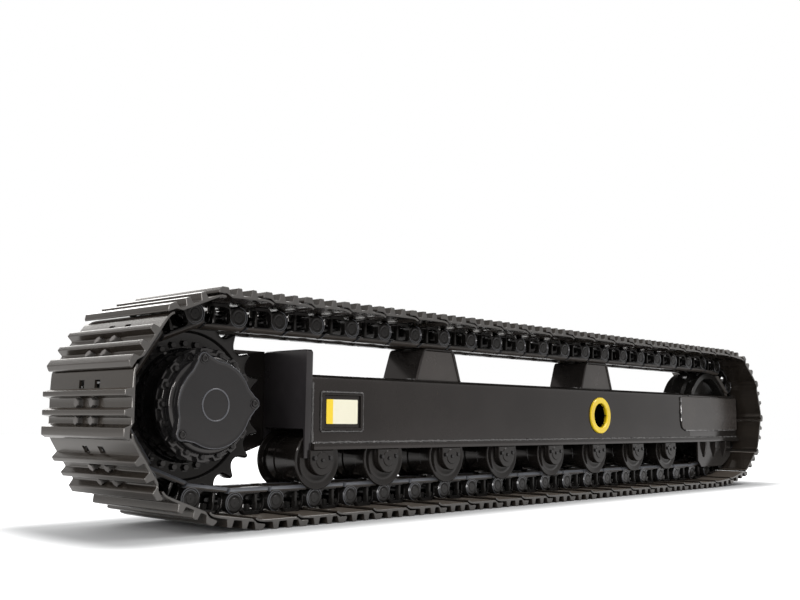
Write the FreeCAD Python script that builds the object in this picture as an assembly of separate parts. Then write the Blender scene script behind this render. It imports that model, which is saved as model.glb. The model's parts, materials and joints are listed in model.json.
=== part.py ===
import FreeCAD, Part
import math
import os

from FreeCAD import Rotation, Vector

"""Complete track unit of a crawler excavator: side frame, final drive, idler, rollers and shoe chain.

Millimetres. X runs along the unit from the drive wheel (-X) to the idler (+X), Y across it with the
outer side at -Y, Z up from the ground. The origin is under the middle of the unit, on the ground.
A pin of the chain is numbered from the one on top of the drive wheel, along the top run to the idler,
round it, and back along the ground. Link k lies between pins k and k + 1.
"""

# Chain
PITCH = 190.0
TOP_LINKS = 20
GROUND_LINKS = 18
DRIVE_CHORDS = 5
IDLER_CHORDS = 6
DRIVE_RAMP_LIFT = 25.0
RAIL_DEPTH = 52.0
SEAT_HEIGHT = 45.0
RAIL_OVERLAP = 12.0
RAIL_START = 30.0
RAIL_START_HEIGHT = 18.0
BOSS_RADIUS = 40.0
SHOULDER = 60.0
SEAT_INSET = 50.0
END_FLATS = 4
PIN_END_SPAN = (-30.0, 140.0)
BUSHING_END_SPAN = (40.0, 210.0)
LINK_SPAN = 207.6
LINK_STRAP = 25.0
STRAP_GAP = 0.5
PIN_RADIUS = 19.0
OPEN_PIN_RADIUS = 14.5
BUSHING_RADIUS = 29.0
BUSHING_FLATS = 12
RUNNING_GAP = 0.05

# Shoes
SHOE_WIDTH = 540.0
SHOE_PLATE = 10.0
GROUSER_HEIGHT = 26.0
GROUSER_TOP = 18.0
GROUSER_FOOT = 30.0
GROUSER_SHIFT = 5.0
WEDGE_TIP = 18.0
WEDGE_FOOT = 30.0
WEDGE_TOP = (20.0, -8.0)
WEDGE_GAP = 5.6
WEDGE_HEEL = 14.5
WEDGE_BACK = 38.0
LIP_GAP = 4.6
LIP_THICKNESS = 8.0
LIP_START = 12.0
LIP_SPAN = (88.0, 52.0)
LIP_FLATS = 2

# Drive wheel and final drive
TEETH = 21
TOOTH_TIP_RADIUS = 338.0
TOOTH_TIP_WIDTH = 14.0
TOOTH_PLAY = 1.2
TOOTH_ROOT_SPAN = 60.0
TOOTH_ROOT_FLATS = 3
TOOTH_WIDTH = 56.0
RIM_INNER_RADIUS = 262.0
WEB_WIDTH = 30.0
DRUM_RADIUS = 198.0
DRUM_FRONT = 140.0
FLANGE_RADIUS = 240.0
FLANGE_THICKNESS = 25.0
SPINDLE_RADIUS = 110.0
SPINDLE_FRONT = 90.0
SPINDLE_END_GAP = 5.0
HUB_BACK = 60.0
SLOT_RING_THICKNESS = 15.0
SLOT_RING_WIDTH = 48.0
SLOT_COUNT = 17
SLOT_WIDTH = 34.0
SLOT_DEPTH = 14.0
COVER_BASE_INSET = 26.0
COVER_BASE_THICKNESS = 25.0
COVER_RADIUS = 148.0
COVER_THICKNESS = 26.0
COVER_LOBE_CENTRE = 166.0
COVER_LOBE_RADIUS = 24.0
COVER_LOBE_ANGLES = (108.5, 2.5, 217.5)
BOLT_SEAT_RADIUS = 14.0
BOLT_SEAT_DEPTH = 8.0
CENTRE_RING_RADIUS = 57.0
CENTRE_RING_WIDTH = 4.0
CENTRE_RING_HEIGHT = 2.0

# Idler
IDLER_FLANGE_RADIUS = 276.0
IDLER_FLANGE_WIDTH = 80.0
IDLER_FLANGE_TAPER = 4.0
IDLER_TREAD_WIDTH = 196.0
IDLER_RIM_INNER = 222.0
IDLER_RIM_TAPER = 12.0
IDLER_DISC_WIDTH = 96.0
IDLER_HUB_RADIUS = 88.0
IDLER_HUB_TAPER = 20.0
IDLER_AXLE_RADIUS = 45.0
TREAD_GAP = 0.3

# Rollers
ROLLER_COUNT = 8
ROLLER_TREAD_RADIUS = 92.0
ROLLER_FLANGE_RADIUS = 113.0
ROLLER_FLANGE_INNER = 105.5
ROLLER_FLANGE_OUTER = 116.5
ROLLER_FLANGE_TAPER = 2.0
ROLLER_SHAFT_RADIUS = 30.0
ROLLER_FIRST = 548.0
ROLLER_LAST = 585.0
ROLLER_END_GAP = 365.0
COLLAR_RADIUS = 59.0
COLLAR_WIDTH = 28.0

# Side frame
BEAM_HALF_WIDTH = 130.0
BEAM_WALL = 12.0
BEAM_TOP = 556.0
BEAM_SIDE_BOTTOM = 290.0
BEAM_EDGE_RADIUS = 25.0
BEAM_START = 504.0
BEAM_END = 302.0
IDLER_SLOT_START = 322.0
RAIL_FLANGE_THICKNESS = 25.0
RAIL_FLANGE_OUT = 18.0
BULKHEAD_THICKNESS = 32.0
BULKHEAD_TOP = 650.0
BULKHEAD_FOOT = 234.0
BEAM_WEB_THICKNESS = 12.0
ROLLER_HEADROOM = 6.0
DOUBLER_THICKNESS = 8.0
DOUBLER_START = 426.0
DOUBLER_BOTTOM = 336.0
DOUBLER_CORNER = 60.0
SKID_BASE = 302.0
SKID_TOP = 205.0
SKID_WALL = 12.0
SKID_RECESS = 10.0
SKID_GAP = 0.3
REAR_SKID_CENTRE = 1271.0
FRONT_SKID_CENTRE = 1290.0
ACCESS_CENTRE = 1313.0
ACCESS_HEIGHT = 414.0
ACCESS_INNER = 64.0
ACCESS_OUTER = 95.0
ACCESS_DEPTH = 10.0
PANEL_MARGIN = 35.0
LABEL_START = 551.0
LABEL_LENGTH = 220.0
LABEL_HEIGHT = 148.0
LABEL_BOTTOM = 338.0
LABEL_BAR = 12.0
LABEL_FRAME_DEPTH = 9.0
LABEL_PLATE_DEPTH = 2.0
LABEL_MARGIN = 14.0

# Motor side
BRACKET_THICKNESS = 30.0
BRACKET_RADIUS = 288.0
BRACKET_REACH = 330.0
BRACKET_FOOT_ANGLE = 75.0
MOTOR_FLANGE_RADIUS = 165.0
MOTOR_FLANGE_THICKNESS = 20.0
MOTOR_RADIUS = 112.0
MOTOR_END = 262.0
VALVE_LENGTH = 230.0
VALVE_HEIGHT = 96.0
VALVE_WIDTH = 62.0
VALVE_OVERLAP = 10.0

# Idler yoke and tensioner
YOKE_ARM = 12.0
YOKE_SIDE_GAP = 1.0
YOKE_HEIGHT = 110.0
YOKE_BOSS_RADIUS = 78.0
CROSSHEAD_LENGTH = 40.0
CROSSHEAD_CLEAR = 8.0
ROD_RADIUS = 38.0
ROD_LENGTH = 130.0
SPRING_RADIUS = 76.0
SPRING_BORE = 52.0
SPRING_LENGTH = 560.0
SPRING_SEAT_THICKNESS = 20.0
CYLINDER_RADIUS = 54.0
CYLINDER_LENGTH = 330.0
CYLINDER_NOSE_RADIUS = 30.0
CYLINDER_NOSE_LENGTH = 60.0

# Guide plates under the idler
GUIDE_THICKNESS = 12.0
GUIDE_BACK = 222.0
GUIDE_FRONT = 214.0
GUIDE_BOTTOM = 112.0
GUIDE_CHAMFER = 40.0
GUIDE_REACH = 332.0
GUSSET_THICKNESS = 14.0
GUSSET_PLACES = (-150.0, -20.0, 110.0)
GUSSET_DROP = 96.0
GUSSET_EDGE = 32.0

# Pads for the crawler's crossmembers
PAD_LENGTH = 420.0
PAD_HEIGHT = 230.0
PAD_THICKNESS = 36.0
PAD_CENTRE = 640.0
PAD_BOLT_RADIUS = 13.5
PAD_BOLT_SPACING = 300.0
PAD_BOLT_ROW_SPACING = 160.0
PAD_BOTTOM = 305.0

ARC = "arc"
CLOSING_ROUNDS = 30
STEP = 4.0 * math.pi / TEETH
PIN_CIRCLE = PITCH / (2.0 * math.sin(STEP / 2.0))
GROUND_PIN_HEIGHT = SEAT_HEIGHT + SHOE_PLATE + GROUSER_HEIGHT


def across_line(point, start, end):
    """Mirror image of a point in the line from start to end."""
    run, rise = end[0] - start[0], end[1] - start[1]
    share = ((point[0] - start[0]) * run + (point[1] - start[1]) * rise) / (run ** 2 + rise ** 2)
    return 2.0 * (start[0] + share * run) - point[0], 2.0 * (start[1] + share * rise) - point[1]


def chain_geometry():
    """Closes the chain over both wheels, with both runs level and ramp links between ground and wheels."""
    drive_angle = math.pi / 2.0 + STEP / 8.0
    idler_angle = math.pi / 2.0 + 3.0 * STEP / 8.0
    phase = 0.0
    for _ in range(CLOSING_ROUNDS):
        drive_sum = math.cos(STEP / 8.0 - phase) + math.cos(STEP / 8.0 + phase)
        idler_lift = DRIVE_RAMP_LIFT + PIN_CIRCLE * (drive_sum - 2.0 * math.cos(3.0 * STEP / 8.0))
        drive_run = math.sqrt(PITCH ** 2 - DRIVE_RAMP_LIFT ** 2)
        idler_run = math.sqrt(PITCH ** 2 - idler_lift ** 2)
        spare = (TOP_LINKS - GROUND_LINKS) * PITCH - drive_run - idler_run
        phase = math.asin(spare / (2.0 * PIN_CIRCLE * math.cos(STEP / 8.0)))
    drive_z = GROUND_PIN_HEIGHT + DRIVE_RAMP_LIFT + PIN_CIRCLE * math.cos(STEP / 8.0 - phase)
    top_z = drive_z + PIN_CIRCLE * math.cos(STEP / 8.0 + phase)
    idler_z = top_z - PIN_CIRCLE * math.cos(3.0 * STEP / 8.0)
    idler_x = PIN_CIRCLE * (math.sin(3.0 * STEP / 8.0) - math.sin(STEP / 8.0 + phase)) + TOP_LINKS * PITCH
    pins = []
    for k in range(TOP_LINKS):
        pins.append((k * PITCH - PIN_CIRCLE * math.sin(STEP / 8.0 + phase), top_z))
    for k in range(IDLER_CHORDS + 1):
        angle = idler_angle - k * STEP
        pins.append((idler_x + PIN_CIRCLE * math.cos(angle), idler_z + PIN_CIRCLE * math.sin(angle)))
    ramp_x = pins[-1][0] - idler_run
    pins[-1] = across_line(pins[-1], pins[-2], (ramp_x, GROUND_PIN_HEIGHT))
    for k in range(GROUND_LINKS + 1):
        pins.append((ramp_x - k * PITCH, GROUND_PIN_HEIGHT))
    for k in range(DRIVE_CHORDS + 1):
        angle = drive_angle + phase + (DRIVE_CHORDS - k) * STEP
        pins.append((PIN_CIRCLE * math.cos(angle), drive_z + PIN_CIRCLE * math.sin(angle)))
    return pins, idler_x, drive_z, idler_z, phase


def flats_round(x, z, radius, span, count):
    """Corners of flats round an arc, whose span is two angles from +X towards +Z in degrees."""
    points = []
    for i in range(count + 1):
        angle = math.radians(span[0] + (span[1] - span[0]) * i / count)
        points.append((x + radius * math.cos(angle), z + radius * math.sin(angle)))
    return points


def shoe_outline():
    """Side outline of a triple grouser shoe: wedge over the pin behind, two bars, lip over the pin ahead."""
    plate_out = SEAT_HEIGHT + SHOE_PLATE
    top = plate_out + GROUSER_HEIGHT
    lip_in = BOSS_RADIUS + LIP_GAP
    lip_out = lip_in + LIP_THICKNESS
    wedge_under = lip_out + WEDGE_GAP
    points = [(WEDGE_BACK, SEAT_HEIGHT), (PITCH - LIP_START, SEAT_HEIGHT)]
    points += flats_round(PITCH, 0.0, lip_in, LIP_SPAN, LIP_FLATS)
    points += flats_round(PITCH, 0.0, lip_out, LIP_SPAN[::-1], LIP_FLATS)
    for third in (2, 1):
        middle = third * PITCH / 3.0 + GROUSER_SHIFT
        points.append((middle + GROUSER_FOOT / 2.0, plate_out))
        points.append((middle + GROUSER_TOP / 2.0, top))
        points.append((middle - GROUSER_TOP / 2.0, top))
        points.append((middle - GROUSER_FOOT / 2.0, plate_out))
    points.append((WEDGE_FOOT, plate_out))
    points += [(x, top) for x in WEDGE_TOP]
    points.append((-WEDGE_TIP, wedge_under + LIP_THICKNESS))
    points.append((-WEDGE_TIP, wedge_under))
    points.append((WEDGE_HEEL, wedge_under))
    return points


PINS, AXLE_SPAN, DRIVE_Z, IDLER_Z, PHASE = chain_geometry()
LINK_COUNT = len(PINS) - 1


def link_angle(k):
    """Direction of link k, from +X towards +Z."""
    start, end = PINS[k], PINS[k + 1]
    return math.atan2(end[1] - start[1], end[0] - start[0])


def middle_shift():
    """How far the drive wheel's axis lies from the middle of the whole unit."""
    reach = []
    for k in range(LINK_COUNT):
        angle = link_angle(k)
        for point in shoe_outline():
            reach.append(PINS[k][0] + point[0] * math.cos(angle) - point[1] * math.sin(angle))
    return -(min(reach) + max(reach)) / 2.0


DRIVE_X = middle_shift()
IDLER_X = DRIVE_X + AXLE_SPAN
TOP_PIN_Z = PINS[0][1]
SEAT_PLANE = TOP_PIN_Z - RAIL_DEPTH
ROLLER_Z = GROUND_PIN_HEIGHT + RAIL_DEPTH + ROLLER_TREAD_RADIUS + TREAD_GAP
WEB_BOTTOM = ROLLER_Z + ROLLER_FLANGE_RADIUS + ROLLER_HEADROOM
WEB_TOP = WEB_BOTTOM + BEAM_WEB_THICKNESS
SIDE_INNER = BEAM_HALF_WIDTH - BEAM_WALL
OUTER_STRAP = LINK_SPAN / 2.0
INNER_STRAP = OUTER_STRAP - LINK_STRAP - STRAP_GAP
BUSHING_END = INNER_STRAP - LINK_STRAP
BEAM_X0 = DRIVE_X + BEAM_START
BEAM_X1 = IDLER_X + BEAM_END
SLOT_X = IDLER_X - IDLER_SLOT_START
ACCESS_X = IDLER_X - ACCESS_CENTRE
RAIL_FLANGE_BOTTOM = BEAM_SIDE_BOTTOM - RAIL_FLANGE_THICKNESS


def face_of(points, level, plane="xz"):
    """Closed face at the given level; a point marked ARC is the middle of an arc between its neighbours."""
    def at(point):
        if plane == "xz":
            return Vector(point[0], level, point[1])
        if plane == "yz":
            return Vector(level, point[0], point[1])
        return Vector(point[0], point[1], level)

    edges = []
    count = len(points)
    index = 0
    while index < count:
        here = points[index]
        after = points[(index + 1) % count]
        if len(after) == 3:
            end = points[(index + 2) % count]
            edges.append(Part.Arc(at(here), at(after), at(end)).toShape())
            index += 2
        else:
            edges.append(Part.LineSegment(at(here), at(after)).toShape())
            index += 1
    return Part.Face(Part.Wire(edges))


def slab(points, y0, y1):
    """Side outline in X and Z, from y0 to y1."""
    return face_of(points, y0).extrude(Vector(0, y1 - y0, 0))


def bar(points, x0, x1):
    """Cross-section in Y and Z, from x0 to x1."""
    return face_of(points, x0, "yz").extrude(Vector(x1 - x0, 0, 0))


def box(x0, x1, y0, y1, z0, z1):
    return Part.makeBox(x1 - x0, y1 - y0, z1 - z0, Vector(x0, y0, z0))


def disc(x, z, radius, y0, y1):
    """Cylinder along Y."""
    return Part.makeCylinder(radius, y1 - y0, Vector(x, y0, z), Vector(0, 1, 0))


def turned(profile, x, z):
    """Solid of revolution about an axis along Y; the profile's points are (radius, y)."""
    section = face_of([(radius, y) for radius, y in profile], 0.0, "xy")
    solid = section.revolve(Vector(0, 0, 0), Vector(0, 1, 0), 360)
    solid.translate(Vector(x, 0, z))
    return solid


def fused(shapes):
    whole = shapes[0]
    for shape in shapes[1:]:
        whole = whole.fuse(shape)
    return whole.removeSplitter()


def mirrored(shape):
    """The same piece on the other side of the unit's middle plane."""
    return shape.mirror(Vector(0, 0, 0), Vector(0, 1, 0))


def placed_on_link(shape, k):
    copy = shape.copy()
    turn = Rotation(Vector(0, 1, 0), -math.degrees(link_angle(k)))
    copy.Placement = FreeCAD.Placement(Vector(DRIVE_X + PINS[k][0], 0, PINS[k][1]), turn)
    return copy


def save(name, solids):
    shape = solids[0] if len(solids) == 1 else Part.makeCompound(solids)
    shape.exportStep("parts/" + name + ".step")
    NODES.append((name, solids))


def link_plate():
    """Outer half of a link: inner strap round the bushing, outer strap round the pin, joined."""
    step = PITCH - SHOULDER
    edge = PITCH + BOSS_RADIUS
    inner = [(-RAIL_OVERLAP, -RAIL_DEPTH), (step, -RAIL_DEPTH)]
    inner += [(step, SEAT_HEIGHT), (SEAT_INSET, SEAT_HEIGHT)]
    inner += flats_round(0.0, 0.0, BOSS_RADIUS, BUSHING_END_SPAN, END_FLATS)
    outer = [(RAIL_START, -RAIL_DEPTH), (PITCH + RAIL_OVERLAP, -RAIL_DEPTH)]
    outer += flats_round(PITCH, 0.0, BOSS_RADIUS, PIN_END_SPAN, END_FLATS)
    outer += [(PITCH - SEAT_INSET, SEAT_HEIGHT), (SHOULDER, SEAT_HEIGHT), (SHOULDER, -RAIL_START_HEIGHT)]
    plan = [(0.0, INNER_STRAP), (step, INNER_STRAP), (step, INNER_STRAP + STRAP_GAP)]
    plan += [(edge, INNER_STRAP + STRAP_GAP), (edge, OUTER_STRAP), (0.0, OUTER_STRAP)]
    block = face_of(plan, -RAIL_DEPTH, "xy").extrude(Vector(0, 0, RAIL_DEPTH + SEAT_HEIGHT))
    strap = slab(outer, INNER_STRAP, OUTER_STRAP).common(block)
    return fused([slab(inner, BUSHING_END, INNER_STRAP), strap])


def link_pair(bored, pin_radius):
    """Both plates of a link; bored where the pin behind turns in it, with its own pin where one is given."""
    right = link_plate()
    if bored:
        right = right.cut(disc(0.0, 0.0, PIN_RADIUS + RUNNING_GAP, 0.0, 2.0 * OUTER_STRAP))
    left = mirrored(right)
    if pin_radius is None:
        return [left, right]
    return [fused([left, right, disc(PITCH, 0.0, pin_radius, -OUTER_STRAP, OUTER_STRAP)])]


def bushing(bored):
    """Round tube where the pin turns in it; elsewhere a bar of flats that stands for bushing and pin."""
    if not bored:
        points = flats_round(0.0, 0.0, BUSHING_RADIUS, (0.0, 360.0), BUSHING_FLATS)
        return slab(points[:-1], -BUSHING_END, BUSHING_END)
    tube = disc(0.0, 0.0, BUSHING_RADIUS, -BUSHING_END, BUSHING_END)
    return tube.cut(disc(0.0, 0.0, PIN_RADIUS + RUNNING_GAP, -BUSHING_END, BUSHING_END))


def shoe():
    return slab(shoe_outline(), -SHOE_WIDTH / 2.0, SHOE_WIDTH / 2.0)


def run_of_links(name, first, last, bored_first, pin_last):
    """A stretch of chain that moves as one: its plates, bushings and shoes in three nodes."""
    plates = []
    bushings = []
    shoes = []
    for k in range(first, last + 1):
        bored = bored_first and k == first
        pin = pin_last if k == last else None
        plates += [placed_on_link(piece, k) for piece in link_pair(bored, pin)]
        bushings.append(placed_on_link(bushing(bored), k))
        shoes.append(placed_on_link(SHOE, k))
    save(name + "_links", plates)
    save(name + "_bushings", bushings)
    save(name + "_shoes", shoes)


def free_link(name, k, pin_radius):
    """A link that swings between two runs, with its bushing, pin and shoe."""
    pieces = link_pair(True, pin_radius) + [bushing(True)]
    save(name + "_link", [placed_on_link(piece, k) for piece in pieces])
    save(name + "_shoe", [placed_on_link(SHOE, k)])


def chain():
    idler_top = TOP_LINKS
    idler_end = TOP_LINKS + IDLER_CHORDS
    ground = idler_end + 1
    drive = ground + GROUND_LINKS + 1
    free_link("drive_top", LINK_COUNT - 1, OPEN_PIN_RADIUS)
    run_of_links("top_run", 0, idler_top - 2, True, OPEN_PIN_RADIUS)
    free_link("idler_top", idler_top - 1, PIN_RADIUS)
    run_of_links("idler_wrap", idler_top, idler_end - 2, True, PIN_RADIUS)
    free_link("idler_bottom", idler_end - 1, OPEN_PIN_RADIUS)
    free_link("idler_ramp", idler_end, PIN_RADIUS)
    run_of_links("ground_run", ground, drive - 3, True, PIN_RADIUS)
    free_link("ground_end", drive - 2, OPEN_PIN_RADIUS)
    free_link("drive_ramp", drive - 1, PIN_RADIUS)
    run_of_links("drive_wrap", drive, LINK_COUNT - 2, True, PIN_RADIUS)


def sprocket():
    """Ring with teeth at half the chain's pitch, so every second gap takes a bushing."""
    root_flat = 2.0 * TOOTH_ROOT_SPAN / TOOTH_ROOT_FLATS
    root_radius = (BUSHING_RADIUS + TOOTH_PLAY) / math.cos(math.radians(root_flat / 2.0))
    tooth_step = STEP / 2.0
    tip_half = TOOTH_TIP_WIDTH / 2.0 / TOOTH_TIP_RADIUS
    first = math.pi / 2.0 + STEP / 8.0 + PHASE
    half = TOOTH_WIDTH / 2.0
    points = []
    for i in range(TEETH):
        gap = first - i * tooth_step
        x = DRIVE_X + PIN_CIRCLE * math.cos(gap)
        z = DRIVE_Z + PIN_CIRCLE * math.sin(gap)
        inward = math.degrees(gap) + 180.0
        span = (inward - TOOTH_ROOT_SPAN, inward + TOOTH_ROOT_SPAN)
        points += flats_round(x, z, root_radius, span, TOOTH_ROOT_FLATS)
        for lean in (tip_half, -tip_half):
            angle = gap - tooth_step / 2.0 + lean
            x = DRIVE_X + TOOTH_TIP_RADIUS * math.cos(angle)
            z = DRIVE_Z + TOOTH_TIP_RADIUS * math.sin(angle)
            points.append((x, z))
    ring = slab(points, -half, half).cut(disc(DRIVE_X, DRIVE_Z, DRUM_RADIUS, -half, half))
    ring = ring.cut(disc(DRIVE_X, DRIVE_Z, RIM_INNER_RADIUS, WEB_WIDTH / 2.0, half))
    ring = ring.cut(disc(DRIVE_X, DRIVE_Z, RIM_INNER_RADIUS, -half, -WEB_WIDTH / 2.0))
    save("sprocket_ring", [ring])


def drive_hub():
    """Turning drum of the final drive, with the flange that the sprocket ring is bolted to."""
    bore = SPINDLE_RADIUS + RUNNING_GAP
    flange_back = WEB_WIDTH / 2.0 + FLANGE_THICKNESS
    neck = (SPINDLE_RADIUS + DRUM_RADIUS) / 2.0
    blind = -(SPINDLE_FRONT + SPINDLE_END_GAP)
    profile = [(0.0, blind), (bore, blind), (bore, HUB_BACK), (neck, HUB_BACK), (neck, flange_back)]
    profile += [(FLANGE_RADIUS, flange_back), (FLANGE_RADIUS, WEB_WIDTH / 2.0)]
    profile += [(DRUM_RADIUS, WEB_WIDTH / 2.0), (DRUM_RADIUS, -DRUM_FRONT), (0.0, -DRUM_FRONT)]
    save("drive_hub", [turned(profile, DRIVE_X, DRIVE_Z)])


def slotted_ring():
    """Ring between drum and cover, with a slot between each two of its bolts."""
    front = -(DRUM_FRONT + SLOT_RING_THICKNESS)
    ring = disc(DRIVE_X, DRIVE_Z, DRUM_RADIUS, front, -DRUM_FRONT)
    ring = ring.cut(disc(DRIVE_X, DRIVE_Z, DRUM_RADIUS - SLOT_RING_WIDTH, front, -DRUM_FRONT))
    slots = []
    for i in range(SLOT_COUNT):
        slot = box(-SLOT_WIDTH / 2.0, SLOT_WIDTH / 2.0, front, -DRUM_FRONT,
                   DRUM_RADIUS - SLOT_DEPTH, DRUM_RADIUS + SLOT_DEPTH)
        slot.rotate(Vector(0, 0, 0), Vector(0, 1, 0), 360.0 * i / SLOT_COUNT)
        slot.translate(Vector(DRIVE_X, 0, DRIVE_Z))
        slots.append(slot)
    save("slotted_ring", [ring.cut(Part.makeCompound(slots))])


def drive_cover():
    """Round cover on a wider base, with three bolt lobes and a plain raised ring in its middle."""
    base_back = -(DRUM_FRONT + SLOT_RING_THICKNESS)
    base_front = base_back - COVER_BASE_THICKNESS
    front = base_front - COVER_THICKNESS
    body = [disc(DRIVE_X, DRIVE_Z, DRUM_RADIUS - COVER_BASE_INSET, base_front, base_back)]
    body.append(disc(DRIVE_X, DRIVE_Z, COVER_RADIUS, front, base_front))
    for angle in COVER_LOBE_ANGLES:
        x = DRIVE_X + COVER_LOBE_CENTRE * math.cos(math.radians(angle))
        z = DRIVE_Z + COVER_LOBE_CENTRE * math.sin(math.radians(angle))
        body.append(disc(x, z, COVER_LOBE_RADIUS, front, base_front))
    cover = fused(body)
    for angle in COVER_LOBE_ANGLES:
        x = DRIVE_X + COVER_LOBE_CENTRE * math.cos(math.radians(angle))
        z = DRIVE_Z + COVER_LOBE_CENTRE * math.sin(math.radians(angle))
        cover = cover.cut(disc(x, z, BOLT_SEAT_RADIUS, front, front + BOLT_SEAT_DEPTH))
    ring_front = front - CENTRE_RING_HEIGHT
    ring = disc(DRIVE_X, DRIVE_Z, CENTRE_RING_RADIUS, ring_front, front)
    ring = ring.cut(disc(DRIVE_X, DRIVE_Z, CENTRE_RING_RADIUS - CENTRE_RING_WIDTH, ring_front, front))
    save("drive_cover", [fused([cover, ring])])


def final_drive_frame():
    """Fixed side of the drive: bracket plate on the frame, spindle for the hub, hydraulic motor."""
    inner = BEAM_HALF_WIDTH
    outer = inner + BRACKET_THICKNESS
    x0 = BEAM_X0 + BRACKET_REACH
    rise = BULKHEAD_TOP - DRIVE_Z
    top = (DRIVE_X + math.sqrt(BRACKET_RADIUS ** 2 - rise ** 2), BULKHEAD_TOP)
    down = math.radians(BRACKET_FOOT_ANGLE)
    low = (DRIVE_X + BRACKET_RADIUS * math.cos(down), DRIVE_Z - BRACKET_RADIUS * math.sin(down))
    back = BEAM_X0 - BULKHEAD_THICKNESS
    outline = [(x0, BEAM_TOP - BEAM_EDGE_RADIUS), (BEAM_X0, BEAM_TOP - BEAM_EDGE_RADIUS)]
    outline += [(back, BULKHEAD_TOP), top, (DRIVE_X - BRACKET_RADIUS, DRIVE_Z, ARC), low]
    outline += [(BEAM_X0, BEAM_SIDE_BOTTOM), (x0, BEAM_SIDE_BOTTOM)]
    plate = slab(outline, inner, outer).cut(disc(DRIVE_X, DRIVE_Z, SPINDLE_RADIUS, inner, outer))
    save("motor_bracket", [plate])
    save("hub_spindle", [disc(DRIVE_X, DRIVE_Z, SPINDLE_RADIUS, -SPINDLE_FRONT, outer)])
    flange_end = outer + MOTOR_FLANGE_THICKNESS
    motor = [disc(DRIVE_X, DRIVE_Z, MOTOR_FLANGE_RADIUS, outer, flange_end)]
    motor.append(disc(DRIVE_X, DRIVE_Z, MOTOR_RADIUS, flange_end, MOTOR_END))
    block_x = DRIVE_X + MOTOR_RADIUS
    motor.append(box(block_x - VALVE_OVERLAP, block_x + VALVE_LENGTH, flange_end, flange_end + VALVE_WIDTH,
                     DRIVE_Z - VALVE_HEIGHT / 2.0, DRIVE_Z + VALVE_HEIGHT / 2.0))
    save("travel_motor", [fused(motor)])


def idler_wheel():
    tread = PIN_CIRCLE * math.cos(STEP / 2.0) - RAIL_DEPTH - TREAD_GAP
    flange = IDLER_FLANGE_WIDTH / 2.0
    rim = IDLER_TREAD_WIDTH / 2.0
    web = IDLER_DISC_WIDTH / 2.0
    bore = IDLER_AXLE_RADIUS + RUNNING_GAP
    half = [(bore, rim), (IDLER_HUB_RADIUS, rim), (IDLER_HUB_RADIUS + IDLER_HUB_TAPER, web)]
    half += [(IDLER_RIM_INNER - IDLER_RIM_TAPER, web), (IDLER_RIM_INNER, rim), (tread, rim)]
    half += [(tread, flange + IDLER_FLANGE_TAPER), (IDLER_FLANGE_RADIUS, flange - IDLER_FLANGE_TAPER)]
    profile = half + [(radius, -y) for radius, y in reversed(half)]
    save("idler_wheel", [turned(profile, IDLER_X, IDLER_Z)])
    save("idler_axle", [disc(IDLER_X, IDLER_Z, IDLER_AXLE_RADIUS, -SIDE_INNER, SIDE_INNER)])


def idler_yoke():
    """Fork on the idler's axle, and the tensioner behind it: rod, spring, cylinder and their seats."""
    arm_out = SIDE_INNER - YOKE_SIDE_GAP
    arm_in = arm_out - YOKE_ARM
    head_front = IDLER_X - IDLER_FLANGE_RADIUS - CROSSHEAD_CLEAR
    head_back = head_front - CROSSHEAD_LENGTH
    low = IDLER_Z - YOKE_HEIGHT / 2.0
    high = IDLER_Z + YOKE_HEIGHT / 2.0
    boss = disc(IDLER_X, IDLER_Z, YOKE_BOSS_RADIUS, arm_in, arm_out)
    arm = fused([box(head_back, IDLER_X, arm_in, arm_out, low, high), boss])
    arm = arm.cut(disc(IDLER_X, IDLER_Z, IDLER_AXLE_RADIUS, arm_in, arm_out))
    head = box(head_back, head_front, -arm_out, arm_out, low, high)
    save("idler_yoke", [fused([arm, mirrored(arm), head])])
    rod_back = head_back - ROD_LENGTH
    axis = Vector(-1, 0, 0)
    save("tension_rod", [Part.makeCylinder(ROD_RADIUS, ROD_LENGTH, Vector(head_back, 0, IDLER_Z), axis)])
    seat_back = rod_back - SPRING_SEAT_THICKNESS
    seat_top = BEAM_TOP - BEAM_WALL
    front_seat = box(seat_back, rod_back, -SIDE_INNER, SIDE_INNER, WEB_TOP, seat_top)
    spring_back = seat_back - SPRING_LENGTH
    spring = Part.makeCylinder(SPRING_RADIUS, SPRING_LENGTH, Vector(seat_back, 0, IDLER_Z), axis)
    spring = spring.cut(Part.makeCylinder(SPRING_BORE, SPRING_LENGTH, Vector(seat_back, 0, IDLER_Z), axis))
    save("recoil_spring", [spring])
    anchor_back = spring_back - SPRING_SEAT_THICKNESS
    rear_seat = box(anchor_back, spring_back, -SIDE_INNER, SIDE_INNER, WEB_TOP, seat_top)
    save("spring_seats", [rear_seat, front_seat])
    cylinder = Part.makeCylinder(CYLINDER_RADIUS, CYLINDER_LENGTH, Vector(anchor_back, 0, IDLER_Z), axis)
    nose = Part.makeCylinder(CYLINDER_NOSE_RADIUS, CYLINDER_NOSE_LENGTH,
                             Vector(anchor_back - CYLINDER_LENGTH, 0, IDLER_Z), axis)
    save("tension_cylinder", [fused([cylinder, nose])])


def roller_places():
    first = DRIVE_X + ROLLER_FIRST
    last = IDLER_X - ROLLER_LAST
    inner_first = first + ROLLER_END_GAP
    inner_last = last - ROLLER_END_GAP
    inner = ROLLER_COUNT - 2
    step = (inner_last - inner_first) / (inner - 1)
    return [first] + [inner_first + step * i for i in range(inner)] + [last]


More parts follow.
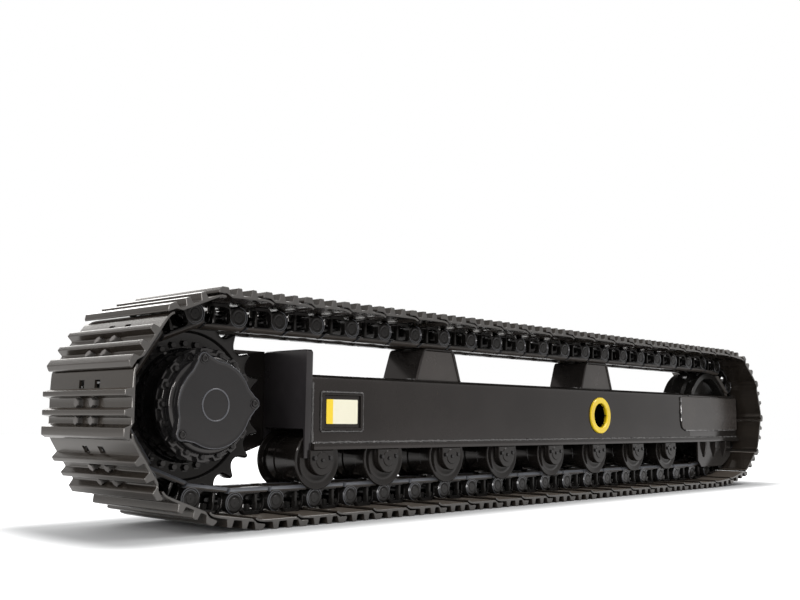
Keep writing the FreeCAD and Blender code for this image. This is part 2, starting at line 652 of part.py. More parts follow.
def rollers():
    """Track rollers with a flange outside each rail, and the fixed shafts that they turn on."""
    bore = ROLLER_SHAFT_RADIUS + RUNNING_GAP
    half = [(bore, ROLLER_FLANGE_OUTER), (ROLLER_FLANGE_RADIUS, ROLLER_FLANGE_OUTER)]
    half += [(ROLLER_FLANGE_RADIUS, ROLLER_FLANGE_INNER + ROLLER_FLANGE_TAPER)]
    half += [(ROLLER_TREAD_RADIUS, ROLLER_FLANGE_INNER)]
    profile = half + [(radius, -y) for radius, y in reversed(half)]
    shafts = []
    for number, x in enumerate(roller_places(), 1):
        save("roller_" + str(number), [turned(profile, x, ROLLER_Z)])
        shafts.append(roller_shaft(x))
    save("roller_shafts", shafts)


def roller_shaft(x):
    """Shaft with a collar at each end that hangs under the frame's bottom flange."""
    collar_in = SIDE_INNER
    collar_out = collar_in + COLLAR_WIDTH
    left = x - COLLAR_RADIUS
    right = x + COLLAR_RADIUS
    outline = [(left, RAIL_FLANGE_BOTTOM), (left, ROLLER_Z), (x, ROLLER_Z - COLLAR_RADIUS, ARC)]
    outline += [(right, ROLLER_Z), (right, RAIL_FLANGE_BOTTOM)]
    collar = slab(outline, collar_in, collar_out)
    return fused([collar, mirrored(collar), disc(x, ROLLER_Z, ROLLER_SHAFT_RADIUS, -collar_out, collar_out)])


def beam():
    """Folded shell of the side frame; its top is open where the idler stands between the sides."""
    edge = BEAM_EDGE_RADIUS
    slope = edge * (1.0 - math.sqrt(0.5))
    half = BEAM_HALF_WIDTH
    outer = [(-half, BEAM_SIDE_BOTTOM), (-half, BEAM_TOP - edge), (slope - half, BEAM_TOP - slope, ARC)]
    outer += [(edge - half, BEAM_TOP), (half - edge, BEAM_TOP), (half - slope, BEAM_TOP - slope, ARC)]
    outer += [(half, BEAM_TOP - edge), (half, BEAM_SIDE_BOTTOM)]
    inner = box(BEAM_X0, BEAM_X1, -SIDE_INNER, SIDE_INNER, BEAM_SIDE_BOTTOM, BEAM_TOP - BEAM_WALL)
    shell = bar(outer, BEAM_X0, BEAM_X1).cut(inner)
    shell = shell.cut(box(SLOT_X, BEAM_X1, -SIDE_INNER, SIDE_INNER, BEAM_SIDE_BOTTOM, BEAM_TOP))
    panel_x0 = ACCESS_X - ACCESS_OUTER - PANEL_MARGIN
    panel_x1 = ACCESS_X + ACCESS_OUTER + PANEL_MARGIN
    panel = box(panel_x0, panel_x1, -half, -SIDE_INNER, BEAM_SIDE_BOTTOM, BEAM_TOP - edge)
    lengths = []
    for x0, x1 in ((BEAM_X0, panel_x0), (panel_x0, panel_x1), (panel_x1, BEAM_X1)):
        length = shell.common(box(x0, x1, -half, half, BEAM_SIDE_BOTTOM, BEAM_TOP))
        lengths.append(length.cut(panel))
    save("beam_shell", lengths)
    save("access_panel", [panel.cut(disc(ACCESS_X, ACCESS_HEIGHT, ACCESS_INNER, -half, -SIDE_INNER))])
    flange = box(BEAM_X0, BEAM_X1, SIDE_INNER, half + RAIL_FLANGE_OUT, RAIL_FLANGE_BOTTOM, BEAM_SIDE_BOTTOM)
    save("bottom_flanges", [mirrored(flange), flange])
    web = box(BEAM_X0, SLOT_X, -SIDE_INNER, SIDE_INNER, WEB_BOTTOM, WEB_TOP)
    save("beam_web", [web])
    back = BEAM_X0 - BULKHEAD_THICKNESS
    bulkhead = box(back, BEAM_X0, -half, half, BULKHEAD_FOOT, BULKHEAD_TOP)
    arch = box(back, BEAM_X0, -SIDE_INNER, SIDE_INNER, BULKHEAD_FOOT, WEB_BOTTOM)
    notch = box(roller_places()[0] - COLLAR_RADIUS, BEAM_X0, -half, half, BULKHEAD_FOOT, RAIL_FLANGE_BOTTOM)
    save("rear_bulkhead", [bulkhead.cut(arch).cut(notch)])


def beam_fittings():
    """Doubler plates, access ring, label frame and blank label on the side frame."""
    half = BEAM_HALF_WIDTH
    x0 = IDLER_X - DOUBLER_START
    top = BEAM_TOP - BEAM_EDGE_RADIUS
    turn = DOUBLER_CORNER * (1.0 - math.sqrt(0.5))
    outline = [(x0, top), (x0, DOUBLER_BOTTOM + DOUBLER_CORNER), (x0 + turn, DOUBLER_BOTTOM + turn, ARC)]
    outline += [(x0 + DOUBLER_CORNER, DOUBLER_BOTTOM), (BEAM_X1, DOUBLER_BOTTOM), (BEAM_X1, top)]
    doubler = slab(outline, half, half + DOUBLER_THICKNESS)
    save("idler_doublers", [mirrored(doubler), doubler])
    ring = disc(ACCESS_X, ACCESS_HEIGHT, ACCESS_OUTER, -half - ACCESS_DEPTH, -half)
    save("access_ring", [ring.cut(disc(ACCESS_X, ACCESS_HEIGHT, ACCESS_INNER, -half - ACCESS_DEPTH, -half))])
    label_x = DRIVE_X + LABEL_START
    label_end = label_x + LABEL_LENGTH
    label_top = LABEL_BOTTOM + LABEL_HEIGHT
    frame = box(label_x, label_end, -half - LABEL_FRAME_DEPTH, -half, LABEL_BOTTOM, label_top)
    window = box(label_x + LABEL_BAR, label_end - LABEL_BAR, -half - LABEL_FRAME_DEPTH, -half,
                 LABEL_BOTTOM + LABEL_BAR, label_top - LABEL_BAR)
    save("label_frame", [frame.cut(window)])
    inset = LABEL_BAR + LABEL_MARGIN
    save("label_plate", [box(label_x + inset, label_end - inset, -half - LABEL_PLATE_DEPTH, -half,
                             LABEL_BOTTOM + inset, label_top - inset)])


def skid(name, x):
    """Folded strap on the frame that the upper rails slide over, closed by a set-back plate on each side."""
    top = SEAT_PLANE - SKID_GAP
    base = SKID_BASE / 2.0
    crown = SKID_TOP / 2.0
    rise = top - BEAM_TOP
    lean = SKID_WALL * math.hypot(base - crown, rise) / rise
    outer = [(x - base, BEAM_TOP), (x - crown, top), (x + crown, top), (x + base, BEAM_TOP)]
    inner = [(x - base + lean, BEAM_TOP), (x - crown + lean, top - SKID_WALL)]
    inner += [(x + crown - lean, top - SKID_WALL), (x + base - lean, BEAM_TOP)]
    strap = slab(outer, -OUTER_STRAP, OUTER_STRAP).cut(slab(inner, -OUTER_STRAP, OUTER_STRAP))
    face = OUTER_STRAP - SKID_RECESS
    cheek = slab(inner, face - SKID_WALL, face)
    save(name, [fused([strap, cheek, mirrored(cheek)])])


def idler_guides():
    """Plates under the frame beside the idler that keep the chain in line, with gussets outside."""
    inner = SIDE_INNER
    outer = inner + GUIDE_THICKNESS
    x0 = IDLER_X - GUIDE_BACK
    x1 = IDLER_X + GUIDE_FRONT
    foot = math.sqrt(GUIDE_REACH ** 2 - (IDLER_Z - GUIDE_BOTTOM) ** 2)
    corner_z = IDLER_Z - math.sqrt(GUIDE_REACH ** 2 - GUIDE_FRONT ** 2)
    foot_angle = math.atan2(IDLER_Z - GUIDE_BOTTOM, foot)
    middle = (foot_angle + math.atan2(IDLER_Z - corner_z, GUIDE_FRONT)) / 2.0
    outline = [(x0, RAIL_FLANGE_BOTTOM), (x0, GUIDE_BOTTOM + GUIDE_CHAMFER)]
    outline += [(x0 + GUIDE_CHAMFER, GUIDE_BOTTOM), (IDLER_X + foot, GUIDE_BOTTOM)]
    outline += [(IDLER_X + GUIDE_REACH * math.cos(middle), IDLER_Z - GUIDE_REACH * math.sin(middle), ARC)]
    outline += [(x1, corner_z), (x1, RAIL_FLANGE_BOTTOM)]
    plate = slab(outline, inner, outer)
    edge = BEAM_HALF_WIDTH + RAIL_FLANGE_OUT
    gussets = []
    for place in GUSSET_PLACES:
        x = IDLER_X + place
        section = [(outer, RAIL_FLANGE_BOTTOM), (edge, RAIL_FLANGE_BOTTOM)]
        section += [(edge, RAIL_FLANGE_BOTTOM - GUSSET_EDGE), (outer, RAIL_FLANGE_BOTTOM - GUSSET_DROP)]
        gusset = bar(section, x - GUSSET_THICKNESS / 2.0, x + GUSSET_THICKNESS / 2.0)
        gussets += [mirrored(gusset), gusset]
    save("idler_guides", [mirrored(plate), plate] + gussets)


def mounting_pads():
    """Bolting pads on the inner side, where the crawler's two crossmembers are fixed."""
    inner = BEAM_HALF_WIDTH
    outer = inner + PAD_THICKNESS
    top = PAD_BOTTOM + PAD_HEIGHT
    middle = PAD_BOTTOM + PAD_HEIGHT / 2.0
    pads = []
    for centre in (-PAD_CENTRE, PAD_CENTRE):
        pad = box(centre - PAD_LENGTH / 2.0, centre + PAD_LENGTH / 2.0, inner, outer, PAD_BOTTOM, top)
        for column in (-0.5, 0.5):
            for row in (-0.5, 0.5):
                x = centre + column * PAD_BOLT_SPACING
                z = middle + row * PAD_BOLT_ROW_SPACING
                pad = pad.cut(disc(x, z, PAD_BOLT_RADIUS, inner, outer))
        pads.append(pad)
    save("mounting_pads", pads)


NODES = []
SHOE = shoe()
os.makedirs("parts", exist_ok=True)
chain()
sprocket()
drive_hub()
slotted_ring()
drive_cover()
final_drive_frame()
idler_wheel()
idler_yoke()
rollers()
beam()
beam_fittings()
skid("rear_skid", DRIVE_X + REAR_SKID_CENTRE)
skid("front_skid", IDLER_X - FRONT_SKID_CENTRE)
idler_guides()
mounting_pads()
print(len(NODES), "nodes,", sum(len(solids) for _, solids in NODES), "solids, all valid:",
      all(solid.isValid() for _, solids in NODES for solid in solids))
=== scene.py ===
"""Crawler track unit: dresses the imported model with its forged, cast, turned, welded and painted surfaces."""

import json
from math import asin, atan2, cos, pi, radians, sin, sqrt

import bpy
import numpy as np
from bpy.props import FloatProperty, FloatVectorProperty, IntProperty, PointerProperty
from bpy.types import Operator, Panel, PropertyGroup
from mathutils import Matrix


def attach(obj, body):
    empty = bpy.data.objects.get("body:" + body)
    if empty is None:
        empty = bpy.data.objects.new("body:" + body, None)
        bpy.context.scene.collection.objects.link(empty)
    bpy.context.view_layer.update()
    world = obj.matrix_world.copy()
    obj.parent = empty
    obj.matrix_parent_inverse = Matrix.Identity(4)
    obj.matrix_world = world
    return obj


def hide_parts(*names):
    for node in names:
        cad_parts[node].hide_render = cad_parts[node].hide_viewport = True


bl_info = {
    "name": "Crawler track unit",
    "version": (1, 0, 0),
    "blender": (4, 5, 0),
    "location": "View3D > Sidebar > Track unit",
    "description": "Builds the visible surfaces, finishes and studio of a crawler track unit",
    "category": "Object",
}

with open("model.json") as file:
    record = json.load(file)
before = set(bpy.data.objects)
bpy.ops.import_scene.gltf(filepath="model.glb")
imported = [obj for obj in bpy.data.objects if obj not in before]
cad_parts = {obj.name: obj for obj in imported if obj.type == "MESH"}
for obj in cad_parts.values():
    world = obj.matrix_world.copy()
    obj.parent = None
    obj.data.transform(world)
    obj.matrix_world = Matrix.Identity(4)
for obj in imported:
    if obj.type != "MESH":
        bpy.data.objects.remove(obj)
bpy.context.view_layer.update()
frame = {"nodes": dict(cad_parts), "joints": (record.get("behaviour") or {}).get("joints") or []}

MM = 0.001
PITCH = 0.190
TEETH = 21
TOP_LINKS = 20
GROUND_LINKS = 18
DRIVE_CHORDS = 5
IDLER_CHORDS = 6
RAMP_LIFT = 0.025
GROUND_PIN = 0.081
STEP = 4 * pi / TEETH
PIN_CIRCLE = PITCH / (2 * sin(STEP / 2))
DRIVE_X = next(joint["pos_m"][0] for joint in frame["joints"] if joint["name"] == "sprocket_spin")
OUTER_FACE = 0.1038
INNER_FACE = 0.0533
STRAP = 0.0250
LOBES = np.radians([108.5, 2.5, 217.5])
LOBE_CENTRE = 0.166
LID_LEVEL = -0.2052
BEAM_SIDE = 0.130
BEAM_WALL = 0.012
BEAM_TOP = 0.556
FLANGE_SIDE = 0.148
FLANGE_TOP = 0.290
FLANGE_BOTTOM = 0.265
LABEL_BOX = (0.551, 0.338, 0.220, 0.148)
ACCESS_HEIGHT = 0.414
ROLLER_Z = 0.2253
ROLLER_X = DRIVE_X + np.array([0.5480, 0.9130, 1.30935, 1.7057, 2.10205, 2.4984, 2.89475, 3.25975])
SHARP = radians(32)
UP = (0, 0, 1)
INWARDS = (0, 1, 0)


# Sizes and colours that a user would change

def length(label, about, default):
    """Property that holds a length."""
    return FloatProperty(name=label, description=about, default=default, unit="LENGTH")


def hue(label, about, default):
    """Property that holds a colour."""
    return FloatVectorProperty(name=label, description=about, default=default, subtype="COLOR")


class ChainSizes(PropertyGroup):
    shoe_width: length("Shoe width", "Width of a track shoe", 0.540)
    shoe_bolt: length("Shoe bolt", "Radius of a shoe bolt's head", 0.0165)
    bolt_spread: length("Bolt spread", "Distance of the shoe bolts from the middle", 0.050)
    pin_radius: length("Pin radius", "Radius of a track pin's visible end", 0.019)


class DriveSizes(PropertyGroup):
    slot_count: IntProperty(name="Slots", description="Slots and bolts of the slotted ring", default=17, min=3)
    web_bolts: IntProperty(name="Web bolts", description="Bolts that hold the sprocket ring", default=28, min=3)
    web_bolt_circle: length("Web bolt circle", "Radius of the sprocket's bolt circle", 0.219)
    cover_radius: length("Cover radius", "Radius of the final drive's cover", 0.148)


class FrameSizes(PropertyGroup):
    edge_radius: length("Folded edge", "Radius of the side frame's folded top edges", 0.030)
    weld_radius: length("Weld bead", "Radius of the weld beads", 0.0065)


class Finishes(PropertyGroup):
    frame_paint: hue("Frame paint", "Gloss paint of the side frame", (0.0105, 0.0092, 0.0084))
    chain_paint: hue("Chain paint", "Paint of the links", (0.0100, 0.0092, 0.0086))
    rail_colour: hue("Rail", "Handled, dusty face of the rails", (0.026, 0.0205, 0.0165))
    shoe_paint: hue("Shoe paint", "Satin paint of the shoes", (0.0175, 0.0140, 0.0112))
    cover_paint: hue("Cover paint", "Cast cover of the final drive", (0.0120, 0.0115, 0.0120))
    accent: hue("Accent", "Yellow paint of the access ring", (0.90, 0.60, 0.008))


class Studio(PropertyGroup):
    key_power: FloatProperty(name="Key light", description="Power of the small lamp in watts", default=330.0)
    fill_power: FloatProperty(name="Fill light", description="Power of the soft lamps in watts", default=110.0)


# Shapes worked out as whole arrays

def mm(values):
    """Array of millimetres as metres."""
    return np.asarray(values, float) * MM


def full_turn(count):
    """Evenly spaced angles round a circle."""
    return np.linspace(0, 2 * pi, count, endpoint=False)


def polar(radius, angle, centre=(0, 0)):
    """Points round a centre: centre plus radius times cosine and sine of the angle."""
    return np.stack([centre[0] + radius * np.cos(angle), centre[1] + radius * np.sin(angle)], -1)


def rectangle(x0, z0, x1, z1):
    """Corners of a rectangle, anticlockwise."""
    return [(x0, z0), (x1, z0), (x1, z1), (x0, z1)]


def trapeze(middle, foot, crown, low, high):
    """Path up one leg, across and down the other, from half widths at foot and crown."""
    return [(middle - foot, low), (middle - crown, high), (middle + crown, high), (middle + foot, low)]


def eased(points, cut, steps=3):
    """Closed outline with eased corners: each becomes a parabola between two points a cut away along its edges."""
    corner = np.asarray(points, float)
    before = np.roll(corner, 1, 0) - corner
    after = np.roll(corner, -1, 0) - corner
    cut = np.broadcast_to(np.asarray(cut, float), len(corner))[:, None]
    before *= np.minimum(cut / np.linalg.norm(before, axis=1, keepdims=True), 0.48)
    after *= np.minimum(cut / np.linalg.norm(after, axis=1, keepdims=True), 0.48)
    t = np.linspace(0, 1, steps + 1)[None, :, None]
    start, end, middle = (corner + before)[:, None], (corner + after)[:, None], corner[:, None]
    return ((1 - t) ** 2 * start + 2 * t * (1 - t) * middle + t ** 2 * end).reshape(-1, 2)


def offset(outline, distance):
    """Outline moved outwards along the mean normals of its edges; it runs anticlockwise."""
    edge = np.roll(outline, -1, 0) - outline
    normal = np.stack([edge[:, 1], -edge[:, 0]], 1)
    normal /= np.maximum(np.linalg.norm(normal, axis=1, keepdims=True), 1e-12)
    mean = normal + np.roll(normal, 1, 0)
    mean /= np.maximum(np.linalg.norm(mean, axis=1, keepdims=True), 1e-12)
    stretch = 1 / np.clip((mean * normal).sum(1, keepdims=True), 0.5, 1)
    return outline + mean * stretch * distance


def seen_from(outline, centre, count):
    """Outline sampled at even angles round a point inside it: where each ray meets the nearest of its edges."""
    ray = polar(1, full_turn(count))[:, None]
    start = (outline - centre)[None]
    edge = np.roll(start, -1, 1) - start
    cross = ray[..., 0] * edge[..., 1] - ray[..., 1] * edge[..., 0]
    safe = np.where(np.abs(cross) < 1e-15, 1e-15, cross)
    reach = (start[..., 0] * edge[..., 1] - start[..., 1] * edge[..., 0]) / safe
    along = (start[..., 0] * ray[..., 1] - start[..., 1] * ray[..., 0]) / safe
    hit = np.where((along >= -1e-9) & (along <= 1 + 1e-9) & (reach > 0), reach, np.inf).min(1)
    return np.asarray(centre) + ray[:, 0] * hit[:, None]


def volume(points, faces):
    """Signed volume of a closed form, from the fans of its faces."""
    total = 0
    for group in faces:
        fan = np.cross(points[group[:, 1:-1]], points[group[:, 2:]])
        total += (points[group[:, :1]] * fan).sum()
    return total


def closed(grid, ring=False):
    """Form of a stack of loops: quads between neighbours, and either end caps or a join of last to first."""
    grid = np.asarray(grid)
    rows, cols = grid.shape[:2]
    index = np.arange(rows * cols).reshape(rows, cols)
    beside = np.roll(index, -1, 1)
    faces = [np.stack([index, beside, np.roll(beside, -1, 0), np.roll(index, -1, 0)], -1)]
    if not ring:
        faces = [faces[0][:-1], index[:1, ::-1], index[-1:]]
    faces[0] = faces[0].reshape(-1, 4)
    points = grid.reshape(-1, 3)
    if volume(points, faces) < 0:
        faces = [group[:, ::-1] for group in faces]
    return points, faces


def lifted(outline, level, plane="xz"):
    """Points of an outline at a level along the axis that its plane lacks."""
    return np.insert(outline, ("yz", "xz", "xy").index(plane), level, axis=1)


def plate(outline, low, high, bevel=0.0015, plane="xz"):
    """Slab of an outline between two levels, its edges bevelled: the outline is drawn in at both faces."""
    outline = np.asarray(outline, float)
    layers = ((low, bevel), (low + bevel, 0), (high - bevel, 0), (high, bevel))
    return closed([lifted(offset(outline, -drawn), level, plane) for level, drawn in layers])


def strap(outer, inner, cuts, low, high, bevel=0.002, plane="xz"):
    """U-shaped slab: bevelled sections between an outer and an inner path of four corners, carried along them."""
    steps = 5
    picked = np.r_[2, steps + 1:3 * (steps + 1), 3 * (steps + 1) + 3]
    far, near = (eased(path, [1e-5, cut, cut, 1e-5], steps)[picked] for path, cut in zip((outer, inner), cuts))
    inward = (near - far) / np.linalg.norm(near - far, axis=1, keepdims=True) * bevel
    rows = ((far, low + bevel), (far + inward, low), (near - inward, low), (near, low + bevel),
            (near, high - bevel), (near - inward, high), (far + inward, high), (far, high - bevel))
    return closed(np.stack([lifted(path, level, plane) for path, level in rows], 1))


def loop_of(outlines, levels):
    """Ring-shaped form: outlines with the same number of points, each at its level along Y, joined round."""
    return closed([lifted(outline, level) for outline, level in zip(outlines, levels)], ring=True)


def turned(profile, centre=(0, 0), count=64, ring=False):
    """Surface of revolution about an axis along Y; the profile's points are radius and Y in millimetres."""
    radius, level = np.hsplit(mm(profile), 2)
    angle = full_turn(count)
    x = centre[0] + radius * np.cos(angle)
    z = centre[1] + radius * np.sin(angle)
    return closed(np.stack([x, np.broadcast_to(level, x.shape), z], -1), ring)


def bolt(radius, height, washer=1.35):
    """Hexagon head on a washer face, along +Z from its seat: six-sided loops, the top one drawn in."""
    six = polar(1, full_turn(6))
    rings = ((washer, 0), (washer, 0.12), (1.02, 0.12), (1, 0.82), (0.86, 1))
    return closed([lifted(six * radius * scale, height * level, "xy") for scale, level in rings])


def socket_bolt(radius, height):
    """Cylinder head with a hexagon socket, along +Z: twelve-point loops outside, a six-sided hollow inside."""
    outer = polar(radius, full_turn(12))
    inner = polar(1, np.arange(12) // 2 * (pi / 3)) * radius * 0.52
    loops = ((outer, 0), (outer, 0.86), (outer * 0.88, 1), (inner, 1), (inner, 0.45), (inner * 0.2, 0.38))
    return closed([lifted(outline, height * level, "xy") for outline, level in loops])


def stood(form, axis="-y"):
    """Form turned so that its +Z points along -Y or -Z."""
    points, faces = form
    x, y, z = points.T
    return np.stack((x, -z, y) if axis == "-y" else (x, -y, -z), 1), faces


def copies(form, origins, angles=None):
    """Many copies of a form: turned by each angle from +X towards +Z, then moved to each origin."""
    points, faces = form
    origins = np.atleast_2d(np.asarray(origins, float))
    angles = np.zeros(len(origins)) if angles is None else angles
    along, aside = np.cos(angles)[:, None], np.sin(angles)[:, None]
    x = points[:, 0] * along - points[:, 2] * aside
    z = points[:, 0] * aside + points[:, 2] * along
    placed = np.stack([x, np.broadcast_to(points[:, 1], x.shape), z], -1) + origins[:, None]
    shift = (np.arange(len(origins)) * len(points))[:, None, None]
    return placed.reshape(-1, 3), [(group[None] + shift).reshape(-1, group.shape[1]) for group in faces]


def heads(places, radius, height, washer=1.35):
    """Bolt heads that stand on faces looking along -Y."""
    return copies(stood(bolt(radius, height, washer)), places)


def together(*forms):
    """Several forms as one."""
    points, faces, count = [], [], 0
    for some, groups in forms:
        points.append(some)
        faces += [group + count for group in groups]
        count += len(some)
    return np.concatenate(points), faces


def both(form):
    """The form and its mirror image in the plane Y = 0, whose faces are turned back outwards."""
    points, faces = form
    return together(form, (points * (1, -1, 1), [group[:, ::-1] for group in faces]))


def bead(start, end, radius, normal, seed):
    """Weld bead: a tube along a line, its radius rippled by a sine of the place along it and a little noise."""
    start, end, normal = (np.asarray(v, float) for v in (start, end, normal))
    span = np.linalg.norm(end - start)
    station, ripple = 0.0035, 0.0075
    count = max(int(span / station), 8)
    t = np.linspace(0, 1, count)
    noise = np.random.default_rng(seed).normal(0, 1, (3, count))
    soft = np.apply_along_axis(lambda row: np.convolve(row, np.ones(5) / 5, mode="same"), 1, noise)
    swell = 1 + 0.10 * np.sin(t * span / ripple * 2 * pi) + 0.16 * soft[0]
    swell[[0, -1]] = 0.35
    side = np.cross((end - start) / span, normal)
    angle = full_turn(8)[:, None]
    ring = np.cos(angle) * side + np.sin(angle) * normal
    drift = (soft[1][:, None] * side + soft[2][:, None] * normal) * radius * 0.18
    middle = start + t[:, None] * (end - start) + drift
    return closed(middle[:, None] + ring[None] * (radius * swell)[:, None, None])


# Pieces

def linked(name, data):
    """New object of some data, in the scene."""
    made = bpy.data.objects.new(name, data)
    bpy.context.scene.collection.objects.link(made)
    return made


def mesh_of(name, *forms):
    """Mesh of some forms."""
    points, faces = together(*forms)
    mesh = bpy.data.meshes.new(name)
    mesh.from_pydata(points.tolist(), [], sum((group.tolist() for group in faces), []))
    mesh.update()
    return mesh


def smoothed(mesh):
    """Smooth shading, with the sharp edges kept."""
    mesh.shade_smooth()
    mesh.set_sharp_from_angle(angle=SHARP)


def show(name, body, parts, *replaced, slot="frame_paint"):
    """One object of closed forms, each under its finish, that rides a body and replaces nodes."""
    mesh = mesh_of(name, *parts.values())
    counts = [sum(len(group) for group in faces) for _, faces in parts.values()]
    mesh.polygons.foreach_set("material_index", np.repeat(np.arange(len(parts)), counts).tolist())
    for finish in parts:
        mesh.materials.append(bpy.data.materials[finish])
    smoothed(mesh)
    made = linked(name, mesh)
    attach(made, body)
    if replaced:
        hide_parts(*replaced)
    return made


# The chain's pins and links

def chain_pins():
    """Pins of the closed chain over both wheels, from the same closing sums that the model uses."""
    eighth = STEP / 8
    phase = 0
    for _ in range(30):
        drive_sum = cos(eighth - phase) + cos(eighth + phase)
        lift = RAMP_LIFT + PIN_CIRCLE * (drive_sum - 2 * cos(3 * eighth))
        drive_run = sqrt(PITCH ** 2 - RAMP_LIFT ** 2)
        idler_run = sqrt(PITCH ** 2 - lift ** 2)
        spare = (TOP_LINKS - GROUND_LINKS) * PITCH - drive_run - idler_run
        phase = asin(spare / (2 * PIN_CIRCLE * cos(eighth)))
    drive_z = GROUND_PIN + RAMP_LIFT + PIN_CIRCLE * cos(eighth - phase)
    top_z = drive_z + PIN_CIRCLE * cos(eighth + phase)
    idler_z = top_z - PIN_CIRCLE * cos(3 * eighth)
    idler_x = PIN_CIRCLE * (sin(3 * eighth) - sin(eighth + phase)) + TOP_LINKS * PITCH
    top_x = np.arange(TOP_LINKS) * PITCH - PIN_CIRCLE * sin(eighth + phase)
    top = np.stack([top_x, np.full(TOP_LINKS, top_z)], 1)
    angle = pi / 2 + 3 * eighth - np.arange(IDLER_CHORDS + 1) * STEP
    front = polar(PIN_CIRCLE, angle, (idler_x, idler_z))
    ramp = np.array([front[-1, 0] - idler_run, GROUND_PIN])
    run = ramp - front[-2]
    foot = front[-2] + run * ((front[-1] - front[-2]) @ run) / (run @ run)
    front[-1] = 2 * foot - front[-1]
    ground = ramp - np.stack([np.arange(GROUND_LINKS + 1) * PITCH, np.zeros(GROUND_LINKS + 1)], 1)
    angle = pi / 2 + eighth + phase + (DRIVE_CHORDS - np.arange(DRIVE_CHORDS + 1)) * STEP
    back = polar(PIN_CIRCLE, angle, (0, drive_z))
    pins = np.concatenate([top, front, ground, back]) + (DRIVE_X, 0)
    return pins, DRIVE_X + idler_x, drive_z, idler_z, phase


PINS, IDLER_X, DRIVE_Z, IDLER_Z, PHASE = chain_pins()
DRIVE_CENTRE = np.array([DRIVE_X, DRIVE_Z])
IDLER_CENTRE = np.array([IDLER_X, IDLER_Z])
LINK_TURN = np.arctan2(*(PINS[1:] - PINS[:-1]).T[::-1])
BEAM_X0 = DRIVE_X + 0.504
BEAM_X1 = IDLER_X + 0.302
SLOT_X = IDLER_X - 0.322
DOUBLER_X = IDLER_X - 0.426
LABEL_X = DRIVE_X + LABEL_BOX[0]
ACCESS_CENTRE = (IDLER_X - 1.313, ACCESS_HEIGHT)
STRETCHES = {"drive_top": 1, "top_run": TOP_LINKS - 1, "idler_top": 1, "idler_wrap": IDLER_CHORDS - 1,
             "idler_bottom": 1, "idler_ramp": 1, "ground_run": GROUND_LINKS - 1, "ground_end": 1,
             "drive_ramp": 1, "drive_wrap": DRIVE_CHORDS - 1}
WHEELS = {"idler_wrap": "idler", "drive_wrap": "sprocket"}


def stretches():
    """Name, body and links of every stretch of the chain that moves as one, from the last link on."""
    first = -1
    for name, count in STRETCHES.items():
        yield name, WHEELS.get(name, name), np.arange(first, first + count)
        first += count


def on_links(form, links):
    """Copies of a form on some links; the form's origin is at the pin behind."""
    return copies(form, lifted(PINS[:-1][links], 0), LINK_TURN[links])


def shoe_form(width):
    """Track shoe: its side outline carried across the width, with two openings between its last bar and its lip.

    The outline runs along the underside to the lip, round it, back over two bars, and over the wedge bar.
    """
    lip = np.radians([88, 76, 64, 52])
    under = [(38, 45), (147, 45), (176, 45)]
    inner = polar(44.6, lip, (190, 0))
    outer = polar(52.4, lip[::-1], (190, 0))
    over = [(176, 53.4), (147.5, 54.8)]
    bars = [(x + dx, z) for x in (131.7, 68.3) for dx, z in ((15, 55), (9, 81), (-9, 81), (-15, 55))]
    wedge = [(30, 55), (20, 81), (-8, 81), (-18, 66), (-18, 58.5), (14.5, 58.5)]
    corners = np.concatenate([under, inner, outer, over, bars, wedge])
    cut = [2, 0.4, 0.4] + [3] * 8 + [0.4, 0.4] + [4, 3.4, 3.4, 4] * 2 + [5, 3.6, 3.6, 2.4, 2, 4]
    steps = 3
    outline = eased(mm(corners), mm(cut), steps)
    edge = 0.0016
    drawn = offset(outline, -edge)
    half = width / 2
    bands = (-half, edge - half, -0.068, -0.034, 0.034, 0.068, half - edge, half)
    points, faces = closed([lifted(drawn if abs(y) == half else outline, y) for y in bands])
    cols = len(outline)
    corner = np.array([1, 2, 11, 12]) * (steps + 1) + np.array([steps, 0, steps, 0])
    quads = faces[0]
    row = quads.min(1) // cols
    col = np.where(quads.max(1) - quads.min(1) > 2 * cols - 2, cols - 1, quads.min(1) % cols)
    side = np.searchsorted(corner, col, side="right")
    hole = ((row == 2) | (row == 4)) & (side % 2 == 1)
    walls, ends = [], []
    for band in (2, 4):
        a, b = band * cols + corner, (band + 1) * cols + corner
        walls += [[a[0], b[0], b[3], a[3]], [a[2], b[2], b[1], a[1]]]
        ends += [a, b[::-1]]
    return points, [quads[~hole], np.array(walls), np.array(ends)] + faces[1:]


